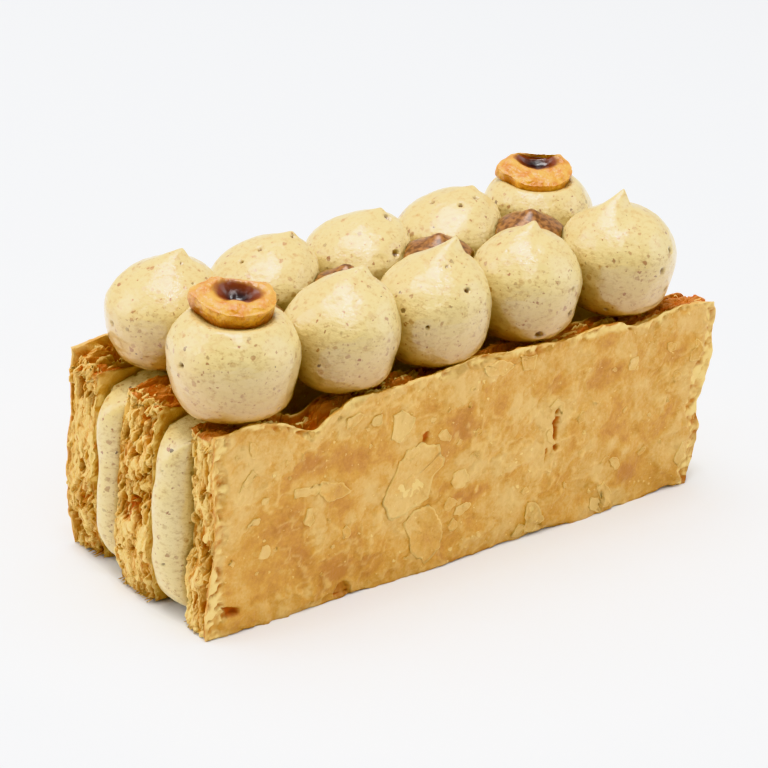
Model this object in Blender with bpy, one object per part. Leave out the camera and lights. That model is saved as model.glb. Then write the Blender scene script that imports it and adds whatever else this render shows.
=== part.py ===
"""A mille feuille slice standing on the cut edges of its pastry.

Three upright slabs of puff pastry hold two layers of hazelnut cream. Along the top run two rows of piped
cream kisses, with drops of praline in the hollows between them and two hazelnut halves. Each piece is one
closed solid. X runs along the slice, Y across its layers from the front slab to the back one, Z up.
Sizes are in millimetres and become metres when a mesh is written.
"""

import collections
import math

import bmesh
import bpy
from mathutils import Matrix, Vector, noise

MILLIMETRE = 0.001

# The whole slice
SLAB_HEIGHT = 40.0
CLEARANCE = 0.3
BED_HEIGHT = 39.2
SEAT_HEIGHT = BED_HEIGHT + CLEARANCE

# Pastry slabs
FACE_RIPPLE = 0.3
END_RIPPLE = 0.5
CORNER_INSET = 0.9
RIPPLE_SIZE = 9.0
SLAB_CELLS = (24, 2, 8)

# Cream layers
CREAM_FOOT = 3.2
CREAM_TOP = 38.8
CREAM_HALF_LENGTH = 55.6
CREAM_BULGE = 5.2
SCALLOP = 0.9
SCALLOP_PITCH = 22.0
CREAM_CELLS = (16, 4, 6)

# Kisses
FRONT_ROW_Y = -12.5
BACK_ROW_Y = 11.5
KISS_LIFT = 0.84
PEAK_RUN_UP = 5.0
PEAK_DROP = 1.7
PEAK_BREADTH = 2.8
KISS_SEGMENTS = 20
KISS_RINGS = 13

# Praline drops
DROP_RADIUS = 7.2
DROP_DOME = 4.2
DROP_FOOT_SPREAD = 1.7
DROP_TIP_HEIGHT = 0.9
DROP_TIP_WIDTH = 0.2
DROP_TOPS = (53.0, 54.2, 56.4, 55.8)
DROP_SHIFT = -0.7
DROP_Y = -0.5
DROP_CLEARANCE = 0.5
DROP_SEGMENTS = 16
DROP_RINGS = 10

# Hazelnut halves
NUT_LENGTH = 13.4
NUT_WIDTH = 11.4
NUT_DEPTH = 6.0
NUT_POINT = 0.16
NUT_BREAK = 3.9
NUT_HOLLOW = 0.62
NUT_HOLLOW_DEPTH = 3.0
NUT_RIM_SHARE = 0.3
DENT_CURVE = 0.045
NUT_SEGMENTS = 18
NUT_RINGS = 11

# A bump is (place, width, height): a smooth swelling, or a dent if its height is negative.
Slab = collections.namedtuple("Slab", "name front back left right top left_end right_end ripple_front ripple_back")
SLABS = (
    Slab(
        "pastry_front", -21.3, -13.6, -57.3, 59.2,
        ((-37.0, 5.5, -3.8), (2.0, 10.0, 1.1), (41.0, 6.0, -1.6), (60.0, 3.0, -1.6)),
        ((22.0, 7.0, -0.7), (5.0, 7.0, 0.7)),
        ((31.0, 6.0, 1.7), (18.0, 4.0, -0.5), (0.0, 4.0, -2.3)),
        True, False,
    ),
    Slab(
        "pastry_middle", -5.3, 5.7, -60.2, 58.2,
        ((-20.0, 9.0, -0.5), (30.0, 8.0, -0.6)),
        ((12.0, 13.0, 0.9), (0.0, 5.0, -0.6), (40.0, 5.0, -1.6)),
        ((10.0, 8.0, 0.8), (27.0, 6.0, -0.6)),
        False, False,
    ),
    Slab(
        "pastry_back", 13.1, 22.1, -59.9, 58.8,
        ((-54.0, 9.0, 1.1), (10.0, 7.0, -1.5), (48.0, 6.0, 0.8)),
        ((17.0, 9.0, 0.8), (0.0, 5.0, -1.4)),
        ((24.0, 9.0, 1.0), (2.0, 5.0, -1.2)),
        False, True,
    ),
)

CREAM_LAYERS = (
    ("cream_front", -13.3, -5.6),
    ("cream_back", 6.0, 12.8),
)

# x: place along the row. radius: half its width. dome: its upper half's height as a share of the radius.
# reach: how far along X its tip is from x. tip: the tip's height.
Kiss = collections.namedtuple("Kiss", "x radius dome reach tip")
FRONT_ROW = (
    Kiss(-47.4, 11.3, 0.9, 0.0, 59.9),
    Kiss(-24.6, 10.5, 0.92, 4.7, 60.2),
    Kiss(-4.2, 10.6, 0.92, 4.5, 61.1),
    Kiss(17.3, 10.6, 0.92, 1.5, 60.6),
    Kiss(40.2, 11.2, 0.88, 0.2, 62.6),
)
BACK_ROW = (
    Kiss(-46.2, 10.5, 0.85, 3.9, 59.4),
    Kiss(-24.4, 10.3, 0.8, 5.8, 57.7),
    Kiss(-3.2, 10.6, 0.8, 4.9, 58.4),
    Kiss(18.3, 10.6, 0.84, 5.5, 58.5),
    Kiss(40.5, 11.0, 0.92, 0.0, 59.4),
)

# x, y: the middle of a nut's cut face, height: how high it is. seat: the lowest height of the nut's dent in
# its kiss. turn, tilt, roll: degrees.
Nut = collections.namedtuple("Nut", "name kiss x y height seat turn tilt roll")
NUTS = (
    Nut("hazelnut_left", FRONT_ROW[0], -47.0, -12.8, 60.6, 55.2, -38.0, 33.0, 3.0),
    Nut("hazelnut_right", BACK_ROW[4], 39.6, 12.2, 60.0, 54.7, -38.0, 8.0, -10.0),
)

PASTRY_COLOUR = (0.68, 0.42, 0.14)
CREAM_COLOUR = (0.75, 0.60, 0.33)
PRALINE_COLOUR = (0.30, 0.12, 0.04)
NUT_COLOUR = (0.62, 0.32, 0.09)


def clear_scene():
    for thing in list(bpy.data.objects):
        bpy.data.objects.remove(thing)


def mix(start, end, share):
    return start + (end - start) * share


def bumps_at(place, bumps):
    """The sum of the bumps' heights at this place."""
    return sum(height * math.exp(-(((place - centre) / width) ** 2)) for centre, width, height in bumps)


def finish_piece(name, shape, colour, roughness):
    """Writes the shape, which is in millimetres, as an object of its own with its own material."""
    bmesh.ops.recalc_face_normals(shape, faces=shape.faces)
    bmesh.ops.scale(shape, vec=Vector((MILLIMETRE,) * 3), verts=shape.verts)
    mesh = bpy.data.meshes.new(name)
    shape.to_mesh(mesh)
    shape.free()
    mesh.shade_smooth()
    material = bpy.data.materials.new(name)
    material.use_nodes = True
    surface = material.node_tree.nodes["Principled BSDF"]
    surface.inputs["Base Color"].default_value = (*colour, 1.0)
    surface.inputs["Roughness"].default_value = roughness
    surface.inputs["Metallic"].default_value = 0.0
    mesh.materials.append(material)
    piece = bpy.data.objects.new(name, mesh)
    bpy.context.scene.collection.objects.link(piece)


def lattice_block(cells, place):
    """A unit block cut into cells, whose points are then moved to place(u, v, w)."""
    shape = bmesh.new()
    bmesh.ops.create_cube(shape, size=1.0, matrix=Matrix.Translation((0.5, 0.5, 0.5)))
    for axis, count in enumerate(cells):
        normal = Vector((0.0, 0.0, 0.0))
        normal[axis] = 1.0
        for step in range(1, count):
            everything = shape.verts[:] + shape.edges[:] + shape.faces[:]
            bmesh.ops.bisect_plane(shape, geom=everything, plane_co=normal * step / count, plane_no=normal)
    for point in shape.verts:
        point.co = place(*point.co)
    return shape


def shaped_ball(segments, rings, place):
    """A ball of radius 1 whose points are then moved to place(direction)."""
    shape = bmesh.new()
    bmesh.ops.create_uvsphere(shape, u_segments=segments, v_segments=rings, radius=1.0)
    for point in shape.verts:
        point.co = place(point.co.normalized())
    return shape


def build_slab(slab):
    """A pastry slab. Its foot and the sides that face cream are flat, the rest follows its bumps and ripples."""

    def place(u, v, w):
        height = SLAB_HEIGHT + bumps_at(mix(slab.left, slab.right, u), slab.top)
        outer_edge = (v == 0.0 and slab.ripple_front) or (v == 1.0 and slab.ripple_back)
        z = w * (height if outer_edge else min(height, BED_HEIGHT))
        corner = CORNER_INSET * abs(2.0 * v - 1.0) ** 2
        left = slab.left - bumps_at(z, slab.left_end) + corner
        right = slab.right + bumps_at(z, slab.right_end) - corner
        x = mix(left, right, u)
        y = mix(slab.front, slab.back, v)
        spot = Vector((x, y, z)) / RIPPLE_SIZE
        if u in (0.0, 1.0):
            x += END_RIPPLE * noise.noise(spot)
        if outer_edge:
            y += FACE_RIPPLE * noise.noise(spot)
        return x, y, z

    finish_piece(slab.name, lattice_block(SLAB_CELLS, place), PASTRY_COLOUR, 0.6)


def build_cream_layer(name, front, back):
    """A layer of cream that swells past the slabs at both ends and stops short of the table."""

    def place(u, v, w):
        across = math.sqrt(max(0.0, 1.0 - 0.96 * (2.0 * v - 1.0) ** 2))
        upright = (1.0 - abs(2.0 * w - 1.0) ** 4) ** 0.5
        half = CREAM_HALF_LENGTH + CREAM_BULGE * across * upright
        x = mix(-half, half, u)
        wave = SCALLOP * math.cos(2.0 * math.pi * x / SCALLOP_PITCH)
        z = mix(CREAM_FOOT + wave, CREAM_TOP - SCALLOP + wave * w, w)
        return x, mix(front, back, v), min(z, CREAM_TOP)

    finish_piece(name, lattice_block(CREAM_CELLS, place), CREAM_COLOUR, 0.5)


def kiss_middle(kiss):
    """The height of the kiss's widest ring."""
    return SLAB_HEIGHT + KISS_LIFT * kiss.radius


def kiss_section(kiss, height):
    """The radius of the kiss's outline at this height."""
    rise = height - kiss_middle(kiss)
    share = rise / (kiss.radius * (kiss.dome if rise > 0.0 else 1.0))
    return kiss.radius * math.sqrt(max(0.0, 1.0 - share**2))


def peak_rise(kiss, x, y):
    """The peak's height above the dome: it climbs slowly along X to its tip and drops steeply after it."""
    dome_at_tip = kiss_middle(kiss) + kiss.dome * math.sqrt(kiss.radius**2 - kiss.reach**2)
    past_tip = x - kiss.reach
    width = PEAK_DROP if past_tip > 0.0 else PEAK_RUN_UP
    return (kiss.tip - dome_at_tip) * math.exp(-((past_tip / width) ** 2) - (y / PEAK_BREADTH) ** 2)


def kiss_walls(row, index):
    """The planes along X where the kiss meets its neighbours, half a clearance to each side."""
    kiss = row[index]
    left = -math.inf
    right = math.inf
    if index > 0:
        other = row[index - 1]
        left = (other.x + other.radius + kiss.x - kiss.radius + CLEARANCE) / 2.0
    if index < len(row) - 1:
        other = row[index + 1]
        right = (kiss.x + kiss.radius + other.x - other.radius - CLEARANCE) / 2.0
    return left, right


def dent_height(nut, x, y):
    """The height of the dent that this nut has pressed into its kiss, a shallow bowl."""
    return nut.seat + DENT_CURVE * ((x - nut.x) ** 2 + (y - nut.y) ** 2)


def build_kiss(name, row, row_y, index):
    """A piped kiss: a ball flat under its foot and against its neighbours, drawn up to a peak."""
    kiss = row[index]
    left, right = kiss_walls(row, index)
    nuts = [nut for nut in NUTS if nut.kiss is kiss]

    def place(direction):
        x, y, z = direction * kiss.radius
        if z > 0.0:
            z = kiss.dome * z + peak_rise(kiss, x, y)
        x += kiss.x
        y += row_y
        z += kiss_middle(kiss)
        for nut in nuts:
            z = min(z, dent_height(nut, x, y))
        return min(max(x, left), right), y, max(z, SEAT_HEIGHT)

    finish_piece(name, shaped_ball(KISS_SEGMENTS, KISS_RINGS, place), CREAM_COLOUR, 0.45)


def free_reach(start_x, start_y, heading, height):
    """How far a drop can spread from its axis in this heading before it comes up to a kiss."""
    reach = math.inf
    for row, row_y in ((FRONT_ROW, FRONT_ROW_Y), (BACK_ROW, BACK_ROW_Y)):
        for kiss in row:
            radius = kiss_section(kiss, height)
            if radius == 0.0:
                continue
            across = Vector((kiss.x - start_x, row_y - start_y))
            along = across.dot(heading)
            inside = (radius + DROP_CLEARANCE) ** 2 - (across.length_squared - along**2)
            if inside > 0.0 and along > 0.0:
                reach = min(reach, along - math.sqrt(inside))
    return reach


def build_drop(name, x, top):
    """A drop of praline that fills the hollow between four kisses."""
    waist = top - DROP_DOME

    def place(direction):
        spread = math.hypot(direction.x, direction.y)
        if direction.z > 0.0:
            z = waist + DROP_DOME * direction.z + DROP_TIP_HEIGHT * math.exp(-((spread / DROP_TIP_WIDTH) ** 2))
            radius = DROP_RADIUS * spread
        else:
            z = waist + (waist - SEAT_HEIGHT) * direction.z
            radius = DROP_RADIUS * min(1.0, DROP_FOOT_SPREAD * spread)
        if spread < 1e-6:
            return x, DROP_Y, z
        heading = Vector((direction.x, direction.y)) / spread
        radius = min(radius, free_reach(x, DROP_Y, heading, z))
        return x + radius * heading.x, DROP_Y + radius * heading.y, z

    finish_piece(name, shaped_ball(DROP_SEGMENTS, DROP_RINGS, place), PRALINE_COLOUR, 0.3)


def nut_outline(angle):
    """The cut face's outline: an ellipse drawn to a point at -X and broken off straight at +Y."""
    point = 1.0 + NUT_POINT * math.exp(-(((abs(angle) - math.pi) / 0.35) ** 2))
    x = NUT_LENGTH / 2.0 * point * math.cos(angle)
    y = NUT_WIDTH / 2.0 * math.sin(angle)
    return Vector((x, min(y, NUT_BREAK)))


def build_nut(nut):
    """A hazelnut half: a shallow cup that lies in the top of its kiss with its cut face up."""
    turn = Matrix.Rotation(math.radians(nut.turn), 3, "Z")
    tilt = Matrix.Rotation(math.radians(nut.tilt), 3, "X") @ Matrix.Rotation(math.radians(nut.roll), 3, "Y")
    centre = Vector((nut.x, nut.y, nut.height))

    def place(direction):
        edge = nut_outline(math.atan2(direction.y, direction.x))
        spread = math.hypot(direction.x, direction.y)
        if direction.z > NUT_RIM_SHARE:
            inner = NUT_HOLLOW * math.sqrt(1.0 - ((direction.z - NUT_RIM_SHARE) / (1.0 - NUT_RIM_SHARE)) ** 2)
            depth = NUT_HOLLOW_DEPTH * math.sqrt(1.0 - (inner / NUT_HOLLOW) ** 2)
        else:
            inner = spread
            depth = NUT_DEPTH * max(0.0, -direction.z)
        spot = turn @ tilt @ Vector((edge.x * inner, edge.y * inner, -depth)) + centre
        spot.z = max(spot.z, dent_height(nut, spot.x, spot.y) + CLEARANCE)
        return spot

    finish_piece(nut.name, shaped_ball(NUT_SEGMENTS, NUT_RINGS, place), NUT_COLOUR, 0.3)


def centre_on_origin():
    """Moves the whole slice so that its box is centred on the origin in X and Y."""
    points = [point.co for piece in bpy.context.scene.objects for point in piece.data.vertices]
    shift = Vector((0.0, 0.0, 0.0))
    for axis in (0, 1):
        places = [point[axis] for point in points]
        shift[axis] = -(min(places) + max(places)) / 2.0
    for piece in bpy.context.scene.objects:
        piece.data.transform(Matrix.Translation(shift))


def build_slice():
    clear_scene()
    for slab in SLABS:
        build_slab(slab)
    for name, front, back in CREAM_LAYERS:
        build_cream_layer(name, front, back)
    for prefix, row, row_y in (("kiss_front", FRONT_ROW, FRONT_ROW_Y), ("kiss_back", BACK_ROW, BACK_ROW_Y)):
        for index in range(len(row)):
            build_kiss(f"{prefix}_{index + 1}", row, row_y, index)
    for index, top in enumerate(DROP_TOPS):
        corners = FRONT_ROW[index : index + 2] + BACK_ROW[index : index + 2]
        build_drop(f"praline_{index + 1}", DROP_SHIFT + sum(kiss.x for kiss in corners) / len(corners), top)
    for nut in NUTS:
        build_nut(nut)
    centre_on_origin()


build_slice()
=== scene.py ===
# %% [markdown]
# # A mille feuille slice
# Three upright slabs of puff pastry hold two layers of hazelnut cream. Piped kisses of the same cream stand
# on top, with drops of praline between them and two caramelised hazelnut halves. The CAD solids give every
# piece its place and size; this script gives each one its crumb, skin, sheen and crust.

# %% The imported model
import collections
import math

import bpy
import numpy as np
from mathutils import Matrix, Vector


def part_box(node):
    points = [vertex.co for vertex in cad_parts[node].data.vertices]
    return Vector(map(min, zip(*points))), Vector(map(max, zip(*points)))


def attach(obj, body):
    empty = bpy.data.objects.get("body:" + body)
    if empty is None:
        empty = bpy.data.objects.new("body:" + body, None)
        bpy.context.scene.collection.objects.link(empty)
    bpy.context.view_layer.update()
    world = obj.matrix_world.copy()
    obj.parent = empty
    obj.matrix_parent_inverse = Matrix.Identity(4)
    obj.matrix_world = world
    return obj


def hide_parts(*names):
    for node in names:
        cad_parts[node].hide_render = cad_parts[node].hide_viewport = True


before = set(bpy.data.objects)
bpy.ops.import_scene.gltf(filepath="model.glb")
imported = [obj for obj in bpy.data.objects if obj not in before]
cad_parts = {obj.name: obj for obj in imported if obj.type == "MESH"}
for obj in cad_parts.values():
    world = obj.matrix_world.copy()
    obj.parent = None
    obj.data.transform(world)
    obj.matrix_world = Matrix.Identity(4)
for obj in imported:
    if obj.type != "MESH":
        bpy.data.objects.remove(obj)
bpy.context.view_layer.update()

MILLIMETRE = 0.001

# %% [markdown]
# ## Where things are
# The sizes below are a pastry cook's: millimetres, measured from the middle of the middle slab. The CAD model
# is centred on its own box instead, so everything moves by one short shift, read from the first kiss.

# %% The shift from the cook's measure to the model
FIRST_KISS_X = -47.4
FRONT_ROW_Y = -12.5
BACK_ROW_Y = 11.5


def node_box(node):
    """The lowest and highest corner of a CAD node, in millimetres."""
    low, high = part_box(node)
    return np.array(low) / MILLIMETRE, np.array(high) / MILLIMETRE


first_low, first_high = node_box("kiss_front_1")
SHIFT = (first_low + first_high) / 2.0 - np.array((FIRST_KISS_X, FRONT_ROW_Y, 0.0))
SHIFT[2] = 0.0
print("shift, in mm:", SHIFT.round(2))

# %% [markdown]
# ## Camera
# A long lens, low over the near left corner, as a pastry shop shows its slices. The horizon is tipped by
# a few degrees.

# %% Camera
CAMERA_AZIMUTH = 38.31
CAMERA_ELEVATION = 25.26
CAMERA_ROLL = 2.99
CAMERA_DISTANCE = 483.0
CAMERA_TARGET = (-4.46, 0.0, 28.1)
LENS = 121.2


def make_camera():
    azimuth, elevation, roll = map(math.radians, (CAMERA_AZIMUTH, CAMERA_ELEVATION, CAMERA_ROLL))
    level = math.cos(elevation)
    back = Vector((-math.sin(azimuth) * level, -math.cos(azimuth) * level, math.sin(elevation)))
    right = Vector((0.0, 0.0, 1.0)).cross(back).normalized()
    up = back.cross(right)
    tipped_right = math.cos(roll) * right + math.sin(roll) * up
    tipped_up = math.cos(roll) * up - math.sin(roll) * right
    camera = bpy.data.objects.new("camera", bpy.data.cameras.new("camera"))
    camera.data.lens = LENS
    camera.data.sensor_width = 36.0
    camera.data.clip_start = 0.01
    target = (Vector(CAMERA_TARGET) + Vector(SHIFT)) * MILLIMETRE
    place = target + back * CAMERA_DISTANCE * MILLIMETRE
    turn = Matrix((tipped_right, tipped_up, back)).transposed()
    camera.matrix_world = Matrix.Translation(place) @ turn.to_4x4()
    bpy.context.scene.collection.objects.link(camera)
    bpy.context.scene.camera = camera


make_camera()
camera_place = bpy.context.scene.camera.matrix_world.translation
print("camera, in mm:", [round(value / MILLIMETRE) for value in camera_place])

# %% [markdown]
# ## Node trees
# Materials and Geometry Nodes are both trees of nodes, so one small function adds a node to either: its
# settings are the node's own properties, and its inputs are numbers, colours or other nodes' sockets.

# %% One function that adds a node, and the commonest nodes
def add(tree, kind, inputs=None, **settings):
    """Adds a node. inputs maps a socket's name or number to a value, or to the socket that feeds it."""
    node = tree.nodes.new(kind)
    for name, value in settings.items():
        setattr(node, name, value)
    for name, value in (inputs or {}).items():
        if isinstance(value, bpy.types.NodeSocket):
            tree.links.new(value, node.inputs[name])
        else:
            node.inputs[name].default_value = value
    return node


def calc(tree, operation, *values):
    """The result of a sum on numbers."""
    return add(tree, "ShaderNodeMath", dict(enumerate(values)), operation=operation).outputs[0]


def combine(tree, operation, *vectors):
    """The result of a sum on vectors."""
    return add(tree, "ShaderNodeVectorMath", dict(enumerate(vectors)), operation=operation).outputs[0]


def remap(tree, value, from_min=0.0, from_max=1.0, to_min=0.0, to_max=1.0):
    """The value stretched from one range to another, and held within it."""
    ranges = {"From Min": from_min, "From Max": from_max, "To Min": to_min, "To Max": to_max}
    return add(tree, "ShaderNodeMapRange", {"Value": value, **ranges}).outputs[0]


def blend(tree, factor, first, second):
    """A colour between two others."""
    inputs = {"Factor": factor, 6: first, 7: second}
    return add(tree, "ShaderNodeMix", inputs, data_type="RGBA").outputs[2]


def per_millimetre(size):
    """The scale of a noise whose bumps are this many millimetres wide."""
    return 1.0 / (size * MILLIMETRE)


def noise(tree, where, width, **inputs):
    """Noise from 0 to 1 whose bumps are this many millimetres wide."""
    place = {"Vector": where, "Scale": per_millimetre(width)}
    return add(tree, "ShaderNodeTexNoise", {**place, **inputs}).outputs[0]


def colour(code):
    """The linear colour of an sRGB hex code such as #E8C88A."""
    channels = [int(code[start : start + 2], 16) / 255.0 for start in (1, 3, 5)]
    return (*[c / 12.92 if c <= 0.04045 else ((c + 0.055) / 1.055) ** 2.4 for c in channels], 1.0)


print("cream in linear light:", [round(c, 3) for c in colour("#E9DCB4")])

# %% [markdown]
# ## Light
# A white table in a light tent: an even white sky keeps the shadows pale, and a broad lamp on each side of the
# slice brightens the flanks of the kisses, so that they look round. One overhead and a small one beside it give
# the cream its soft highlight with a brighter heart, and one in front lights the long baked face. The Khronos
# neutral view transform keeps colours as they are and rolls off only near white.

# %% Light and table
SKY_STRENGTH = 0.66
OPENING_STRENGTH = 0.2
TENT_OPENING = (-0.6, -0.77, 0.2)
TABLE_SIZE = 3.0

# place: in metres. size: its side in metres. power: in watts.
Lamp = collections.namedtuple("Lamp", "name place size power")
LAMPS = (
    Lamp("soft box overhead", (-0.06, 0.14, 0.8), 0.42, 4.5),
    Lamp("small lamp overhead", (-0.04, -0.1, 0.85), 0.08, 1.6),
    Lamp("soft box front", (-0.19, -0.43, 0.82), 0.25, 1.5),
    Lamp("soft box right", (0.75, -0.6, 0.5), 0.7, 2.8),
    Lamp("soft box left", (-0.8, 0.45, 0.5), 0.7, 5.0),
)


def make_light():
    scene = bpy.context.scene
    scene.view_settings.view_transform = "Khronos PBR Neutral"
    world = bpy.data.worlds.new("white sky")
    world.use_nodes = True
    sky = world.node_tree.nodes["Background"]
    sky.inputs["Color"].default_value = colour("#FFFFFF")
    # The tent is open at the front left, so less light comes from there.
    heading = add(world.node_tree, "ShaderNodeTexCoord").outputs["Generated"]
    facing = add(world.node_tree, "ShaderNodeVectorMath", {0: heading, 1: TENT_OPENING},
                 operation="DOT_PRODUCT")
    strength = remap(world.node_tree, facing.outputs["Value"], 0.35, 0.95, SKY_STRENGTH, OPENING_STRENGTH)
    world.node_tree.links.new(strength, sky.inputs["Strength"])
    scene.world = world
    for lamp in LAMPS:
        light = bpy.data.lights.new(lamp.name, "AREA")
        light.shape = "SQUARE"
        light.size = lamp.size
        light.energy = lamp.power
        stand = bpy.data.objects.new(lamp.name, light)
        place = Vector(lamp.place)
        stand.matrix_world = Matrix.Translation(place) @ place.to_track_quat("Z", "Y").to_matrix().to_4x4()
        scene.collection.objects.link(stand)


def make_table():
    half = TABLE_SIZE / 2.0
    mesh = bpy.data.meshes.new("table")
    corners = [(-half, -half, 0.0), (half, -half, 0.0), (half, half, 0.0), (-half, half, 0.0)]
    mesh.from_pydata(corners, [], [(0, 1, 2, 3)])
    matt = bpy.data.materials.new("Matt white laminate")
    matt.use_nodes = True
    surface = matt.node_tree.nodes["Principled BSDF"]
    surface.inputs["Base Color"].default_value = colour("#EEEFF1")
    surface.inputs["Roughness"].default_value = 0.9
    surface.inputs["Specular IOR Level"].default_value = 0.1
    mesh.materials.append(matt)
    table = bpy.data.objects.new("table", mesh)
    bpy.context.scene.collection.objects.link(table)


make_light()
make_table()
print("sky", SKY_STRENGTH, "and", round(sum(lamp.power for lamp in LAMPS), 1), "W in", len(LAMPS), "lamps")

# %% [markdown]
# ## Shapes from numbers
# Crumb, skin and cream all need steady randomness: the same bumps in every run. This noise gives each corner
# of a grid of cells a fixed random value and blends smoothly between them. Larger and smaller grids are summed
# for rougher noise.

# %% Smooth noise
def cell_value(cells, seed):
    """A fixed value from -1 to 1 for each whole-number cell."""
    across, deep, high = np.moveaxis(cells, -1, 0)
    mixed = across * 374761393 + deep * 668265263 + high * 1442695041 + seed * 974634777
    mixed = (mixed ^ (mixed >> 13)) * 1274126177 & 0xFFFFFFFF
    mixed = (mixed ^ (mixed >> 15)) * 2246822519 & 0xFFFFFFFF
    return ((mixed ^ (mixed >> 16)) & 0xFFFF) / 32767.5 - 1.0


def smooth_noise(spots, size, seed, octaves=1):
    """Noise of about -1 to 1 at spots, an array of points. size is the width of its largest bumps."""
    total = np.zeros(len(spots))
    strength = 1.0
    for octave in range(octaves):
        scaled = spots * (2.0**octave / size) + 137.31 * octave
        corner = np.floor(scaled).astype(np.int64)
        share = scaled - corner
        share = share * share * share * (share * (share * 6.0 - 15.0) + 10.0)
        blended = 0.0
        for step in np.ndindex(2, 2, 2):
            weight = np.prod(np.where(step, share, 1.0 - share), axis=1)
            blended = blended + weight * cell_value(corner + np.array(step), seed + octave)
        total += strength * blended
        strength *= 0.5
    return total


def smooth_step(value, low, high):
    share = np.clip((value - low) / (high - low), 0.0, 1.0)
    return share * share * (3.0 - 2.0 * share)


def bumps_at(places, bumps):
    """The sum of smooth bumps, each (place, width, height)."""
    return sum(height * np.exp(-(((places - centre) / width) ** 2)) for centre, width, height in bumps)


trial = np.array([(1.0, 2.0, 3.0), (4.0, 5.0, 6.0), (7.0, 8.0, 9.0)])
print("noise at three spots:", smooth_noise(trial, 5.0, 1).round(3))

# %% Meshes
def lattice_surface(u_steps, v_steps, w_steps):
    """The surface of a unit block cut into cells: (points with values from 0 to 1, four-sided faces)."""
    counts = [len(steps) for steps in (u_steps, v_steps, w_steps)]
    number = np.full(counts, -1)
    shell = np.zeros(counts, bool)
    for axis in range(3):
        for end in (0, -1):
            np.moveaxis(shell, axis, 0)[end] = True
    number[shell] = np.arange(shell.sum())
    places = np.argwhere(shell)
    points = np.column_stack(
        [steps[places[:, axis]] for axis, steps in enumerate((u_steps, v_steps, w_steps))])
    faces = []
    for axis in range(3):
        for end in (0, -1):
            side = np.moveaxis(number, axis, 0)[end]
            quads = np.stack([side[:-1, :-1], side[1:, :-1], side[1:, 1:], side[:-1, 1:]],
                             axis=-1).reshape(-1, 4)
            # The Y sides run the other way round, and so does each low end.
            outward = (end == -1) != (axis == 1)
            faces.append(quads if outward else quads[:, ::-1])
    return points, np.concatenate(faces)


def build_mesh(name, points, faces, material, values=None):
    """An object from points in millimetres. values maps a name to one number for each point."""
    mesh = bpy.data.meshes.new(name)
    faces = faces if isinstance(faces, list) else faces.tolist()
    mesh.from_pydata(((points + SHIFT) * MILLIMETRE).tolist(), [], faces)
    for key, numbers in (values or {}).items():
        layer = mesh.attributes.new(key, "FLOAT", "POINT")
        layer.data.foreach_set("value", np.asarray(numbers, np.float32))
    mesh.materials.append(material)
    mesh.shade_smooth()
    piece = bpy.data.objects.new(name, mesh)
    bpy.context.scene.collection.objects.link(piece)
    return piece


unit_points, unit_faces = lattice_surface(*[np.linspace(0.0, 1.0, 3)] * 3)
print("a block of 2 x 2 x 2 cells has", len(unit_points), "points and", len(unit_faces), "faces")

# %% [markdown]
# ## Baked puff pastry
# Butter-rich dough bakes into paper-thin leaves: dry, matt and golden, with a satin skin where the top leaf
# stayed whole. Skins that have lifted look paler. Proud edges, also in worn borders, and loose crumbs get a
# painted highlight, and the gaps between leaves are deep orange-brown, partly their own deeper bake and partly
# painted shade. The mesh says where those are, in four attributes of its points, and noise on Object
# coordinates adds the oven's uneven browning: blotches of 3 to 11 mm under a fine mottling.

# %% Baked puff pastry
PASTRY_GOLD = "#CF9B4A"
PASTRY_PALE = "#DCB670"
PASTRY_TOASTED = "#BC8240"
PASTRY_HIGHLIGHT = "#F6D98C"
PASTRY_DEEP_BAKE_AND_SHADE = "#B65A12"
PASTRY_CRUMB = "#D29840"


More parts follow.
